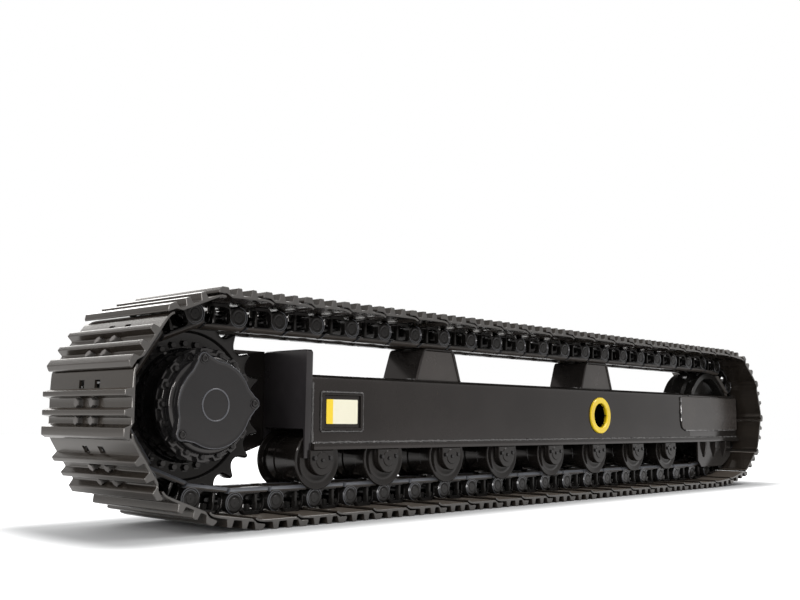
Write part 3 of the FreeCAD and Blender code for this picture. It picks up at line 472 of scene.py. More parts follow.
def link_form():
    """Outer half of a link in three parts: stepped plate with its window, rail heads, rims round the pin.

    The plate is a ring between its outline and the window, both seen from the window's middle. Its two faces
    follow the step: the distance from the middle plane grows by a smooth step of the place along the link.
    """
    middle = mm([95, 3])
    pin_end = polar(39.5, np.radians(np.linspace(-35, 140, 12)), (190, 0))
    bush_end = polar(39.5, np.radians(np.linspace(40, 215, 12)))
    side = np.concatenate([[(-8, -36), (206, -36)], pin_end, [(142, 44.9), (48, 44.9)], bush_end])
    outline = seen_from(mm(side), middle, 96)
    hole = seen_from(eased(mm(rectangle(39, -29, 152, 31)), 0.020, 6), middle, 96)

    def face(points, outwards, drawn):
        start, end = (0.052, 0.080) if outwards else (0.108, 0.134)
        t = np.clip((points[:, 0] - start) / (end - start), 0, 1)
        level = INNER_FACE + STRAP * outwards + (STRAP + 0.0005) * t * t * (3 - 2 * t)
        return lifted(points, level - drawn if outwards else level + drawn)

    bevel = 0.002
    share = np.linspace(0, 1, 7)[:, None, None]
    flat = offset(outline, -bevel)[None] * (1 - share) + offset(hole, bevel)[None] * share
    rows = [face(outline, True, bevel)] + [face(p, True, 0) for p in flat] + [face(hole, True, bevel)]
    rows += [face(hole, False, bevel)] + [face(p, False, 0) for p in flat[::-1]] + [face(outline, False, bevel)]
    post = eased(mm([(80, -31), (93, -31), (91, 34), (83, 34)]), 0.003, 2)
    boss = turned([(37, 98), (36, 103.6), (33, 104.9), (24.5, 105), (21.5, 103.9), (21, 98)],
                  (PITCH, 0), 32, ring=True)
    head = eased(mm([(76, -34), (76, -52), (94, -52), (104.8, -41), (104.8, -34)]), 0.0015, 2)
    points, faces = plate(head, 0.030, 0.204, 0.001, "yz")
    points[:, 0] += (points[:, 2] + 0.052) * 0.84
    inner_rail = eased(mm([(-12, -52), (134, -52), (134, -33), (-16, -33)]), 0.003, 2)
    rails = together((points, faces), plate(inner_rail, 0.0520, 0.0790, 0.002))
    rims = together(arch(0.031, (-140, 60)), arch(0.038, (-165, 85)))
    return together(closed(rows, ring=True), plate(post, 0.074, 0.098, 0.003), boss), rails, rims


def arch(radius, reach):
    """Raised rim round the pin ahead: a circle of 2.3 mm carried along an arc, thinner at its two ends."""
    turn = np.radians(np.linspace(*reach, 22))[:, None]
    swell = np.sin(np.linspace(0.06, pi - 0.06, 22))[:, None] ** 0.3 * 0.0023
    angle = full_turn(6)[None]
    out = radius + swell * np.cos(angle)
    level = OUTER_FACE + swell * np.sin(angle)
    return closed(np.stack([PITCH + out * np.cos(turn), level, out * np.sin(turn)], -1))


def pin_form(radius):
    """Pin's two visible ends at the pin ahead, and the bushing at the pin behind."""
    rim = radius / MM
    end = turned([(1, 80), (rim, 80), (rim, 103.4), (rim - 2.4, 104.9), (3, 104.9), (2, 103.4)],
                 (PITCH, 0), 28)
    return both(end), turned([(20, -53), (29, -53), (29, 53), (20, 53)], count=28)


class TRACK_OT_shoes(Operator):
    """Track shoes of every stretch, each with its four bolts"""
    bl_idname = "track.shoes"
    bl_label = "Shoes"

    def execute(self, context):
        sizes = context.scene.track_chain
        shoe = shoe_form(sizes.shoe_width)
        top, underside, spread = 0.055, 0.0312, sizes.bolt_spread
        places = [(x, y) for x in (0.0415, 0.1000) for y in (-spread, spread)]
        bolts = copies(bolt(sizes.shoe_bolt, 0.0185, 1.18), [(x, y, top) for x, y in places])
        nuts = copies(stood(bolt(0.014, 0.020, 1.05), "-z"), [(x, y * 1.12, underside) for x, y in places])
        for name, body, links in stretches():
            parts = {"shoe paint": on_links(shoe, links),
                     "shoe bolt steel": on_links(together(bolts, nuts), links)}
            node = name + ("_shoe" if len(links) == 1 else "_shoes")
            show(name + "_shoe_steel", body, parts, node, slot="shoe_paint")
        return {"FINISHED"}


class TRACK_OT_links(Operator):
    """Link plates, rails, pins and bushings of every stretch"""
    bl_idname = "track.links"
    bl_label = "Links"

    def execute(self, context):
        web, rails, rims = link_form()
        pins, bushing = pin_form(context.scene.track_chain.pin_radius)
        # The rims take the lighter finish, a painted highlight for the glints along them.
        forms = {"chain paint": together(both(web), bushing), "rail steel": both(rails), "pin steel": pins,
                 "bright edge": both(rims)}
        for name, body, links in stretches():
            parts = {finish: on_links(form, links) for finish, form in forms.items()}
            nodes = [name + "_link"] if len(links) == 1 else [name + "_links", name + "_bushings"]
            show(name + "_link_steel", body, parts, *nodes, slot="chain_paint")
        return {"FINISHED"}


# Drive end

def tooth_outline():
    """Outline of the sprocket ring: bushing-sized hollows every half pitch, flanks up to narrow tips."""
    gap = pi / 2 + STEP / 8 + PHASE - np.arange(TEETH) * STEP / 2
    spread = np.radians([62, 31, 0, -31, -62])
    hollow = polar(PIN_CIRCLE, gap)[:, None] + polar(0.0306, gap[:, None] + pi - spread[None])
    tip_radius, tip_width = 0.338, 0.013
    lean = np.array([0.5, -0.5]) * tip_width / tip_radius
    tip = polar(tip_radius, gap[:, None] - STEP / 4 + lean[None])
    outline = np.concatenate([hollow, tip], 1).reshape(-1, 2)[::-1]
    return eased(outline, mm([6, 6, 9, 8, 8, 8, 9] * TEETH), 3)


class TRACK_OT_sprocket(Operator):
    """Sprocket ring with its bolts"""
    bl_idname = "track.sprocket"
    bl_label = "Sprocket"

    def execute(self, context):
        sizes = context.scene.track_drive
        teeth = tooth_outline()
        unit = teeth / np.linalg.norm(teeth, axis=1, keepdims=True)
        outlines = [offset(teeth, -drawn) for drawn in (0.007, 0.002, 0, 0, 0.002, 0.007)]
        inside = ((268, 28), (263, 25), (258, 16), (254, 15), (200, 15))
        inside += tuple((radius, -level) for radius, level in inside[::-1])
        outlines += [unit * radius * MM for radius, _ in inside]
        levels = [-28, -24, -18, 18, 24, 28] + [level for _, level in inside]
        ring = loop_of([outline + DRIVE_CENTRE for outline in outlines], mm(levels))
        angle = full_turn(sizes.web_bolts) + 0.05
        places = lifted(polar(sizes.web_bolt_circle, angle, DRIVE_CENTRE), -0.015)
        parts = {"cast paint": ring, "bolt steel": heads(places, 0.0125, 0.012)}
        show("sprocket_casting", "sprocket", parts, "sprocket_ring", slot="casting_paint")
        return {"FINISHED"}


def cover_outline(radius):
    """Cover's edge: circle, three bolt lobes and their flanks, by a soft maximum of distances along each ray."""
    angle = full_turn(360)
    reach = [np.full(len(angle), radius)]
    for lobe in LOBES:
        turn = angle - lobe
        inside = np.maximum(0.024 ** 2 - (LOBE_CENTRE * np.sin(turn)) ** 2, 0)
        hit = (inside > 0) & (np.cos(turn) > 0)
        reach.append(np.where(hit, LOBE_CENTRE * np.cos(turn) + np.sqrt(inside), 0))
        aside = np.arctan2(np.sin(turn), np.cos(turn)) / 0.46
        reach.append(radius + 0.030 * np.clip(1 - aside ** 2, 0, 1) ** 2)
    sharp = 260
    far = np.log(sum(np.exp(sharp * (r - radius)) for r in reach)) / sharp + radius
    return polar((far + np.roll(far, 1) + np.roll(far, -1)) / 3, angle)


def make_slotted_plate(count):
    """Ring whose edge steps in at each slot: the radius falls by a ramp of the place between two slots."""
    angle = full_turn(count * 20)
    place = (angle * count / (2 * pi)) % 1
    depth = np.clip((np.abs(place - 0.5) - 0.235) / 0.03, 0, 1)
    radius = 0.198 - 0.015 * depth
    reach = (radius, radius, radius - 0.0015, 0.150, 0.150)
    ring = loop_of([polar(r, angle, DRIVE_CENTRE) for r in reach], mm([-140, -153.5, -155, -155, -140]))
    turn = (np.arange(count) + 0.5) * 2 * pi / count
    places = lifted(polar(0.179, turn, DRIVE_CENTRE), -0.155)
    show("slotted_plate", "sprocket", {"wet gloss": ring, "bolt steel": heads(places, 0.0105, 0.009, 1.25)},
         "slotted_ring")


def make_cover(edge):
    """Cast cover: round base, lid that follows the edge, seam along it, raised ring and bolts in the lobes."""
    base = turned([(60, -155), (171, -155), (172, -157), (172, -165), (171.2, -169.8), (168.8, -174.3),
                   (164.8, -177.8), (159.5, -179.6), (154, -180), (60, -180)], DRIVE_CENTRE, 128)
    layers = ((-0.179, 0), (-0.2015, 0), (-0.2040, 0.0008), (-0.2058, 0.0026), (-0.2064, 0.0050),
              (-0.2060, 0.0072), (LID_LEVEL, 0.0088))
    loops = [lifted(offset(edge, -drawn) + DRIVE_CENTRE, y) for y, drawn in layers]
    loops += [lifted(edge * share + DRIVE_CENTRE, LID_LEVEL) for share in (0.90, 0.6, 0.3, 0.05)]
    raised = turned([(57.5, -205), (57, -207.4), (56, -208), (53.6, -208), (52.6, -207.4), (52, -205)],
                    DRIVE_CENTRE, 96, ring=True)
    inset, thickness = 0.0042, 0.0016
    line = offset(edge, -inset)
    turn = full_turn(6)[None, :, None]
    seam = (line + DRIVE_CENTRE)[:, None] + ((edge - line) / inset)[:, None] * np.cos(turn) * thickness
    level = np.broadcast_to(thickness * np.sin(turn) - 0.2062, seam[..., :1].shape)
    seam = closed(np.concatenate([seam[..., :1], level, seam[..., 1:]], -1), ring=True)
    seat = turned([(19, 0), (18.5, -2.4), (14.8, -2.6), (13.8, 0)], count=32, ring=True)
    places = lifted(polar(LOBE_CENTRE, LOBES, DRIVE_CENTRE), LID_LEVEL)
    # The raised ring and the seam take the lighter finish: a painted highlight along the lid's edge.
    parts = {"cover paint": together(closed(loops), copies(seat, places)),
             "bolt steel": copies(stood(socket_bolt(0.0118, 0.006)), places),
             "bright edge": together(raised, seam), "wet gloss": base}
    show("cover_casting", "sprocket", parts, "drive_cover")


class TRACK_OT_final_drive(Operator):
    """Turning drum, slotted ring with bolts, and cover"""
    bl_idname = "track.final_drive"
    bl_label = "Final drive"

    def execute(self, context):
        sizes = context.scene.track_drive
        drum = turned([(60, -139), (196, -139), (198, -137), (198, -118), (195, -114), (195, -60), (198, -56),
                       (198, -22), (204, -16), (204, 14), (238, 15), (240, 17), (240, 38), (238, 40), (156, 40),
                       (154, 42), (154, 60), (112, 60)], DRIVE_CENTRE, 96)
        show("drive_drum", "sprocket", {"wet gloss": drum}, "drive_hub")
        make_slotted_plate(sizes.slot_count)
        make_cover(cover_outline(sizes.cover_radius))
        return {"FINISHED"}


def even(half):
    """Profile whose second half mirrors the first."""
    return half + [(radius, -level) for radius, level in half[::-1]]


class TRACK_OT_wheels(Operator):
    """Idler wheel and the eight track rollers"""
    bl_idname = "track.wheels"
    bl_label = "Wheels"

    def execute(self, context):
        tread = PIN_CIRCLE * cos(STEP / 2) / MM - 52.3
        profile = even([(45.1, 98), (86, 98), (89, 95.5), (106, 50), (112, 48), (203, 48),
                        (209, 50), (221, 95), (224, 98), (tread - 3, 98), (tread, 95),
                        (tread, 46), (tread + 3, 43.5), (272, 38), (276, 34)])
        wheel = turned(profile, IDLER_CENTRE, 128, ring=True)
        show("idler_casting", "idler", {"cast paint": wheel}, "idler_wheel", slot="casting_paint")
        profile = even([(30.1, 116.5), (72, 116.5), (76, 114.5), (96, 114.5), (100, 116.5), (110, 116.5),
                        (113, 114), (113, 109), (111, 107.2), (94, 105.6), (92, 103.5), (92, 40),
                        (88, 34)])
        for number, x in enumerate(ROLLER_X, 1):
            form = turned(profile, (x, ROLLER_Z), 64, ring=True)
            name = "roller_%d" % number
            show(name + "_forging", name, {"roller paint": form}, name, slot="roller_paint")
        return {"FINISHED"}


class TRACK_OT_collars(Operator):
    """Fixed roller shafts with their collars, grease plugs and bolts"""
    bl_idname = "track.collars"
    bl_label = "Roller collars"

    def execute(self, context):
        radius = 59
        foot = polar(radius, np.radians(np.linspace(180, 360, 17)))
        collar = plate(mm(np.concatenate([foot, [(radius, 39.4), (-radius, 39.4)]])), -0.146, -0.118, 0.003)
        hub = turned([(10, -140), (33, -140), (33, -147), (31, -149), (10, -149)], count=32)
        plug = heads([(0, -0.149, 0)], 0.008, 0.005, 1.3)
        bolts = heads(mm([(-40, -146, 8), (40, -146, 8)]), 0.0095, 0.008, 1.3)
        shaft = turned([(30, -120), (30, 120)], count=32)
        where = [(x, 0, ROLLER_Z) for x in ROLLER_X]
        parts = {"roller paint": copies(together(both(together(collar, hub)), shaft), where),
                 "bolt steel": copies(both(together(plug, bolts)), where)}
        show("roller_collars", "frame", parts, "roller_shafts")
        return {"FINISHED"}


def open_access(beam):
    """Cuts the grease opening through the outer wall."""
    tool = linked("access_cutter", mesh_of("access_cutter", turned([(64, -160), (64, -100)], ACCESS_CENTRE)))
    cut = beam.modifiers.new("access", "BOOLEAN")
    cut.operation, cut.object, cut.solver = "DIFFERENCE", tool, "EXACT"
    bpy.context.view_layer.objects.active = beam
    bpy.ops.object.modifier_apply(modifier=cut.name)
    bpy.data.objects.remove(tool)
    smoothed(beam.data)


class TRACK_OT_side_frame(Operator):
    """Folded side frame, flanges, bulkhead and doublers"""
    bl_idname = "track.side_frame"
    bl_label = "Side frame"

    def execute(self, context):
        edge = context.scene.track_frame.edge_radius
        out, inn, top = BEAM_SIDE, BEAM_SIDE - BEAM_WALL, BEAM_TOP
        skin = trapeze(0, out, out, FLANGE_TOP, top)
        lining = trapeze(0, inn, inn, FLANGE_TOP, top - BEAM_WALL)
        shell = strap(skin, lining, (edge, edge * 0.6), BEAM_X0, SLOT_X, 0.001, "yz")
        section = [(-out, FLANGE_TOP), (-inn, FLANGE_TOP), (-inn, top - 0.004), (-out + 0.006, top - 0.004),
                   (-out, top - 0.014)]
        cheek = plate(eased(section, 0.004, 3), SLOT_X, BEAM_X1, 0.002, "yz")
        show("beam_cheeks", "frame", {"frame paint": both(cheek)})
        open_access(show("beam_fold", "frame", {"frame paint": shell}, "beam_shell", "access_panel"))
        section = eased(rectangle(-FLANGE_SIDE, FLANGE_BOTTOM, -inn, FLANGE_TOP), 0.003, 2)
        flange = plate(section, BEAM_X0, BEAM_X1, 0.002, "yz")
        show("flange_plates", "frame", {"frame paint": both(flange)}, "bottom_flanges")
        low, high, arch_top, depth = 0.234, 0.650, 0.3443, 0.032
        wall = strap(trapeze(0, out, out, low, high), trapeze(0, inn, inn, low, arch_top), (0.012, 0.012),
                     BEAM_X0 - depth, BEAM_X0, 0.0035, "yz")
        show("bulkhead_plate", "frame", {"bulkhead paint": wall}, "rear_bulkhead")
        low, high, depth = 0.336, top - 0.020, 0.008
        shape = eased(rectangle(DOUBLER_X, low, BEAM_X1, high), [0.045, 0.006, 0.006, 0.010], 6)
        doubler = plate(shape, -out - depth, -out, 0.0025)
        show("doubler_plates", "frame", {"dull paint": both(doubler)}, "idler_doublers")
        return {"FINISHED"}


def make_skid(name, x):
    """Bent band with a cheek at both sides and a weld at both feet."""
    top = PINS[0, 1] - 0.0523
    base, crown, wall, lean = 0.151, 0.1025, 0.012, 0.0127
    under = trapeze(x, base - lean, crown - lean * 0.75, BEAM_TOP, top - wall)
    band = strap(trapeze(x, base, crown, BEAM_TOP, top), under, (0.022, 0.012), -OUTER_FACE, OUTER_FACE, 0.004)
    inner = trapeze(x, base - lean, crown - lean, BEAM_TOP, top - wall)[::-1]
    cheek = plate(eased(inner, 0.004, 2), -OUTER_FACE + 0.006, -OUTER_FACE + 0.018, 0.001)
    radius = bpy.context.scene.track_frame.weld_radius * 0.8
    end = OUTER_FACE - 0.004
    welds = [bead((foot, -end, BEAM_TOP), (foot, end, BEAM_TOP), radius, UP, seed)
             for foot, seed in ((x - base, 3), (x + base, 4))]
    parts = {"frame paint": band, "dull paint": both(cheek), "weld paint": together(*welds)}
    show(name + "_plates", "frame", parts, name)


def make_guides():
    """Wall round the idler's foot with three gussets, at both sides."""
    inner, outer = 0.118, 0.130
    reach, bottom, front = 0.332, 0.112, 0.214
    low = atan2(IDLER_Z - bottom, sqrt(reach ** 2 - (IDLER_Z - bottom) ** 2))
    high = asin(sqrt(reach ** 2 - front ** 2) / reach)
    curve = polar(reach, -np.linspace(low, high, 7), IDLER_CENTRE)
    x0 = IDLER_X - 0.222
    corners = np.concatenate([[(x0, FLANGE_BOTTOM), (x0, bottom + 0.040), (x0 + 0.040, bottom)], curve,
                              [(IDLER_X + front, FLANGE_BOTTOM)]])
    section = eased([(-outer, FLANGE_BOTTOM), (-outer, FLANGE_BOTTOM - 0.096),
                     (-FLANGE_SIDE, FLANGE_BOTTOM - 0.032), (-FLANGE_SIDE, FLANGE_BOTTOM)],
                    [0.001, 0.006, 0.010, 0.001], 3)
    places = IDLER_X + np.array([-0.150, -0.020, 0.110])
    ribs = [plate(section, x - 0.007, x + 0.007, 0.0015, "yz") for x in places]
    form = together(plate(corners, -outer, -inner, 0.002), *ribs)
    show("guide_plates", "frame", {"frame paint": both(form)}, "idler_guides")


class TRACK_OT_fittings(Operator):
    """Access ring, label frame with its blank label, skids and idler guides"""
    bl_idname = "track.fittings"
    bl_label = "Fittings"

    def execute(self, context):
        ring = turned([(95, -130), (95, -137), (92, -140), (67, -140), (64, -137), (64, -120), (66, -130)],
                      ACCESS_CENTRE, 72, ring=True)
        show("access_rim", "frame", {"yellow paint": ring}, "access_ring", slot="yellow_paint")
        _, z, width, height = LABEL_BOX
        x = LABEL_X
        outer = eased(rectangle(x, z, x + width, z + height), 0.012, 5)
        bars = [offset(outer, -drawn) for drawn in (0, 0, 0.0025, 0.0095, 0.0120, 0.0120)]
        rim = loop_of(bars, mm([-130, -136.5, -139, -139, -136.5, -130]))
        show("label_rim", "frame", {"frame paint": rim}, "label_frame")
        inset = 0.026
        sheet = eased(rectangle(x + inset, z + inset, x + width - inset, z + height - inset), 0.004, 3)
        show("label_sheet", "frame", {"label film": plate(sheet, -0.132, -0.130, 0.0004)}, "label_plate",
             slot="label_film")
        make_skid("rear_skid", DRIVE_X + 1.271)
        make_skid("front_skid", IDLER_X - 1.290)
        make_guides()
        return {"FINISHED"}


class TRACK_OT_welds(Operator):
    """Weld beads on the side frame"""
    bl_idname = "track.welds"
    bl_label = "Welds"

    def execute(self, context):
        radius = context.scene.track_frame.weld_radius
        thin = radius * 0.8
        y, z = -BEAM_SIDE - 0.002, FLANGE_TOP + 0.001
        rear, side = BEAM_X0 + 0.003, -BEAM_SIDE + 0.001
        lines = [((BEAM_X0 + 0.004, y, z), (BEAM_X1 - 0.004, y, z), radius, UP, 11),
                 ((DOUBLER_X, y - 0.002, 0.385), (DOUBLER_X, y - 0.002, BEAM_TOP - 0.024), thin, INWARDS, 12),
                 ((DOUBLER_X + 0.045, y - 0.002, 0.335), (BEAM_X1 - 0.02, y - 0.002, 0.335), thin, UP, 13)]
        _, z, width, height = LABEL_BOX
        gap = 0.002
        corners = rectangle(LABEL_X - gap, z - gap, LABEL_X + width + gap, z + height + gap)
        path = [corners[number % 4] for number in (0, 3, 2, 1, 0)]
        lines += [((a[0], y, a[1]), (b[0], y, b[1]), radius * 0.72, INWARDS, 20 + number)
                  for number, (a, b) in enumerate(zip(path, path[1:]))]
        lines += [((rear, side, FLANGE_TOP), (rear, side, BEAM_TOP - 0.03), thin, INWARDS, 31),
                  ((rear, -BEAM_SIDE + 0.03, BEAM_TOP), (rear, BEAM_SIDE - 0.03, BEAM_TOP), thin, UP, 32)]
        show("weld_beads", "frame", {"weld paint": together(*[both(bead(*line)) for line in lines])})
        return {"FINISHED"}


class TRACK_OT_inner_side(Operator):
    """Finishes of the motor, its bracket, the pads and the closed-in tensioner, which are shown as they are"""
    bl_idname = "track.inner_side"
    bl_label = "Inner side"

    def execute(self, context):
        shown = {"frame paint": ("motor_bracket", "travel_motor", "mounting_pads", "beam_web", "idler_yoke",
                                 "spring_seats", "tension_cylinder"),
                 "chain paint": ("recoil_spring",),
                 "pin steel": ("hub_spindle", "tension_rod", "idler_axle")}
        for finish, nodes in shown.items():
            for node in nodes:
                for place in frame["nodes"][node].material_slots:
                    place.material = bpy.data.materials[finish]
        return {"FINISHED"}


# Finishes

class Sum:
    """A shader socket that Python's operators turn into Math nodes."""

    def __init__(self, shelf, socket):
        self.shelf, self.socket = shelf, socket

    def math(self, operation, *values, **settings):
        return self.shelf.node("ShaderNodeMath", dict(operation=operation, **settings), *values)

    def __add__(self, other):
        return self.math("ADD", self, other)

    def __mul__(self, other):
        return self.math("MULTIPLY", self, other)

    def __rsub__(self, other):
        return self.math("SUBTRACT", other, self)

    def clamped(self):
        return self.math("ADD", self, 0, use_clamp=True)

    def step(self, low, high):
        """Smooth step from 0 at low to 1 at high."""
        return self.shelf.node("ShaderNodeMapRange", dict(interpolation_type="SMOOTHSTEP"), self, low, high)


class Shelf:
    """Makes the nodes of one tree."""

    def __init__(self, tree):
        self.tree = tree

    def fill(self, entry, value):
        """Links an input to a socket or sets its own value."""
        if isinstance(value, Sum):
            self.tree.links.new(value.socket, entry)
        else:
            entry.default_value = (*value, 1) if entry.type == "RGBA" else value

    def node(self, kind, settings, *values, output=0, **named):
        """New node: its settings first, then its inputs by place or name; a place of None is left."""
        made = self.tree.nodes.new(kind)
        for key, value in settings.items():
            setattr(made, key, value)
        for key, value in [*enumerate(values), *named.items()]:
            if value is not None:
                self.fill(made.inputs[key], value)
        return Sum(self, made.outputs[output])

    def mix(self, share, first, second):
        """Colour between two colours."""
        skipped = [None] * 5
        return self.node("ShaderNodeMix", dict(data_type="RGBA"), share, *skipped, first, second, output=2)

    def vector(self, operation, *values, output=0):
        return self.node("ShaderNodeVectorMath", dict(operation=operation), *values, output=output)

    def seen_white(self):
        """One for rays from the camera, gloss and glass, nought for the light that fills the scene."""
        camera, glossy, glass = (self.node("ShaderNodeLightPath", {}, output="Is %s Ray" % kind)
                                 for kind in ("Camera", "Glossy", "Transmission"))
        return (camera + glossy + glass).clamped()


class Paint(Shelf):
    """A material in the making, on one Principled shader."""

    def __init__(self, name):
        self.material = bpy.data.materials.new(name)
        self.material.use_nodes = True
        super().__init__(self.material.node_tree)
        self.shader = self.tree.nodes["Principled BSDF"]
        self.place = self.node("ShaderNodeTexCoord", {}, output="Object")

    def noise(self, scale, detail=3, rough=0.55, stretch=(1, 1, 1)):
        place = self.vector("MULTIPLY", self.place, stretch)
        return self.node("ShaderNodeTexNoise", {}, Vector=place, Scale=scale, Detail=detail, Roughness=rough)

    def facing_up(self):
        """How much the surface looks upwards, from 0 to 1."""
        normal = self.node("ShaderNodeNewGeometry", {}, output="Normal")
        return self.node("ShaderNodeSeparateXYZ", {}, normal, output=2)

    def set(self, colour, rough, bump=None, **constants):
        """Fills the shader's inputs; a bump is its height, strength and distance."""
        if bump is not None:
            height, strength, distance = bump
            constants["Normal"] = self.node("ShaderNodeBump", {}, Height=height, Strength=strength,
                                            Distance=distance)
        for key, value in dict(constants, Base_Color=colour, Roughness=rough).items():
            self.fill(self.shader.inputs[key.replace("_", " ")], value)


def shade(colour, factor):
    """Colour made darker or lighter by a factor."""
    return tuple(min(c * factor, 1) for c in colour)


def gloss(name, colour, rough, peel, dust, cast=0, metallic=0, coat=0, bend=1.40, dusty=(0.10, 0.088, 0.075),
          tint=(1, 0.95, 0.92)):
    """Sprayed gloss paint: slow colour drift, orange peel, a little dust on faces that look up, cast grain."""
    paint = Paint(name)
    drift = paint.noise(3, 4)
    speck = paint.noise(38, 5, 0.65)
    tone = paint.mix(drift.step(0.3, 0.7), shade(colour, 0.82), shade(colour, 1.25))
    film = (paint.facing_up().step(0.2, 1) * 0.8 + 0.2) * speck.step(0.42, 0.72) * dust
    tone = paint.mix(film.clamped(), tone, dusty)
    roughness = drift * 0.10 + (rough - 0.05) + film * 0.5
    fine = paint.noise(420, 2) * peel + paint.noise(120, 4, 0.6) * (peel * 0.8 + cast)
    paint.set(tone, roughness.clamped(), (fine, 0.30, 0.0012), Metallic=metallic, Coat_Weight=coat,
              Coat_Roughness=0.06, IOR=bend, Specular_Tint=tint)


def shoe_finish(colour):
    """Rolled steel under satin paint: streaks along the width, scuffs on the bars, dust in between, painted
    highlight on the cut ends.
    """
    paint = Paint("shoe paint")
    streak = paint.noise(26, 4, 0.6, (1, 0.12, 1))
    drift = paint.noise(2.2, 3)
    speck = paint.noise(60, 5, 0.7)
    tone = paint.mix(streak.step(0.3, 0.7), shade(colour, 0.84), shade(colour, 1.16))
    tone = paint.mix((drift.step(0.35, 0.75) * 0.3).clamped(), tone, shade(colour, 1.6))
    tone = paint.mix((speck.step(0.62, 0.80) * 0.25).clamped(), tone, shade(colour, 0.45))
    # Painted highlight: the cut ends at both sides are lightened to stand in for the light they catch.
    aside = paint.vector("ABSOLUTE", paint.place)
    cut_end_highlight = paint.node("ShaderNodeSeparateXYZ", {}, aside, output=1).step(0.2668, 0.2680)
    tone = paint.mix((cut_end_highlight * (speck * 0.5 + 0.55)).clamped(), tone, (0.078, 0.074, 0.071))
    lying = paint.facing_up().step(0.90, 0.99) * (1 - cut_end_highlight)
    tone = paint.mix((lying * (speck * 0.5 + 0.6)).clamped(), tone, (0.070, 0.057, 0.046))
    rough = streak * 0.12 + 0.13 + speck * 0.05 + lying * 0.35
    fine = paint.noise(180, 3, 0.6) * 0.4 + streak * 0.5
    paint.set(tone, rough.clamped(), (fine, 0.14, 0.0007), Metallic=0.20, IOR=1.42,
              Specular_Tint=(1, 0.95, 0.89))


def rail_finish(colour):
    """Flat rail face: brownish film with long scratches along the rail, blue-grey painted reflection on its
    chamfers that look up.
    """
    paint = Paint("rail steel")
    scratch = paint.noise(90, 4, 0.7, (0.08, 1, 1))
    drift = paint.noise(5, 3)
    tone = paint.mix(scratch.step(0.35, 0.7), shade(colour, 0.8), shade(colour, 1.25))
    tone = paint.mix((drift.step(0.4, 0.8) * 0.4).clamped(), tone, shade(colour, 1.7))
    # Painted reflection: faces that look partly upwards turn blue-grey, standing in for the sky they reflect.
    painted_sheen = paint.facing_up().step(0.1, 0.55) * (1 - paint.facing_up().step(0.85, 0.97))
    tone = paint.mix((painted_sheen * (scratch * 0.4 + 0.6)).clamped(), tone, (0.105, 0.110, 0.122))
    paint.set(tone, (scratch * 0.2 + 0.28).clamped(), (scratch, 0.2, 0.0008), IOR=1.33)


def label_finish():
    """Blank film: a yellow field with a pale panel, told apart by place."""
    paint = Paint("label film")
    split = paint.node("ShaderNodeSeparateXYZ", {}, paint.place)
    left = LABEL_X + 0.060
    speck = paint.noise(30, 3)
    tone = paint.mix(split.step(left, left + 0.0008), (0.88, 0.62, 0.02), (0.84, 0.80, 0.62))
    tone = paint.mix((speck.step(0.5, 0.8) * 0.08).clamped(), tone, (0.5, 0.42, 0.2))
    paint.set(tone, (speck * 0.2 + 0.30).clamped(), (paint.noise(300), 0.05, 0.0005), Coat_Weight=0.2)


class TRACK_OT_finishes(Operator):
    """Paints and bare metals of all pieces"""
    bl_idname = "track.finishes"
    bl_label = "Finishes"

    def execute(self, context):
        look = context.scene.track_finishes
        gloss("frame paint", look.frame_paint, 0.15, 0.05, 0.05, bend=1.34, tint=(1, 0.89, 0.85))
        gloss("bulkhead paint", (0.020, 0.018, 0.019), 0.20, 0.04, 0.02)
        gloss("chain paint", shade(look.chain_paint, 0.7), 0.13, 0.10, 0.02, 0.4, bend=1.26)
        gloss("cast paint", shade(look.chain_paint, 0.7), 0.15, 0.12, 0.02, 0.7, bend=1.27)
        gloss("roller paint", (0.0085, 0.0072, 0.0064), 0.15, 0.08, 0.04, 0.3, bend=1.30)
        gloss("cover paint", shade(look.cover_paint, 0.8), 0.15, 0.08, 0.03, 0.5, bend=1.37)
        gloss("yellow paint", look.accent, 0.26, 0.08, 0.04, coat=0.3, bend=1.5, dusty=(0.5, 0.36, 0.06))
        gloss("weld paint", (0.050, 0.048, 0.047), 0.18, 0.2, 0.05, 1, metallic=0.3, coat=0.6, bend=1.5)
        gloss("shoe bolt steel", (0.085, 0.080, 0.076), 0.14, 0.05, 0.02, 0.2, metallic=0.6)
        # Painted highlight: a lighter finish on rims, seams and rings stands in for the glints along their edges.
        gloss("bright edge", (0.050, 0.052, 0.058), 0.14, 0.06, 0.02, 0.2, metallic=0.2, coat=0.2, bend=1.5)
        gloss("wet gloss", shade(look.cover_paint, 0.6), 0.09, 0.02, 0.01, bend=1.46)
        gloss("dull paint", (0.036, 0.031, 0.028), 0.26, 0.08, 0.06, 0.2)
        shoe_finish(look.shoe_paint)
        rail_finish(look.rail_colour)
        gloss("pin steel", (0.008, 0.0075, 0.007), 0.14, 0.06, 0.02, 0.3, bend=1.27)
        gloss("bolt steel", (0.009, 0.0085, 0.0085), 0.10, 0.04, 0.02, 0.2, bend=1.34)
        label_finish()
        return {"FINISHED"}


# Stage

def aimed(name, data, side, up, back, place):
    """New object at a place, turned by its three axes."""
    made = linked(name, data)
    made.matrix_world = Matrix(np.vstack([np.stack([side, up, back, place], 1), [0, 0, 0, 1]]))
    return made


def make_floor():
    """Plain pale floor: it keeps the shadow near the object; farther off camera and gloss see it as white."""
    corners = np.array(rectangle(-16.0, -16.0, 16.0, 16.0))
    mesh = mesh_of("floor", (lifted(corners, 0, "xy"), [np.array([[0, 1, 2, 3]])]))
    paint = Paint("floor")
    beside = paint.vector("SUBTRACT", paint.vector("ABSOLUTE", paint.place), (2.30, 0.27, 0))
    beside = paint.vector("MAXIMUM", beside, (0, 0, 0))
    away = paint.vector("LENGTH", beside, output="Value")
    share = (away.step(0.02, 0.30) * paint.seen_white()).clamped()
    glow = paint.mix(share, (0, 0, 0), (1, 1, 1))
    paint.set((0.42, 0.42, 0.42), 0.9, Emission_Color=glow, Emission_Strength=1)
    mesh.materials.append(paint.material)
    linked("floor", mesh)


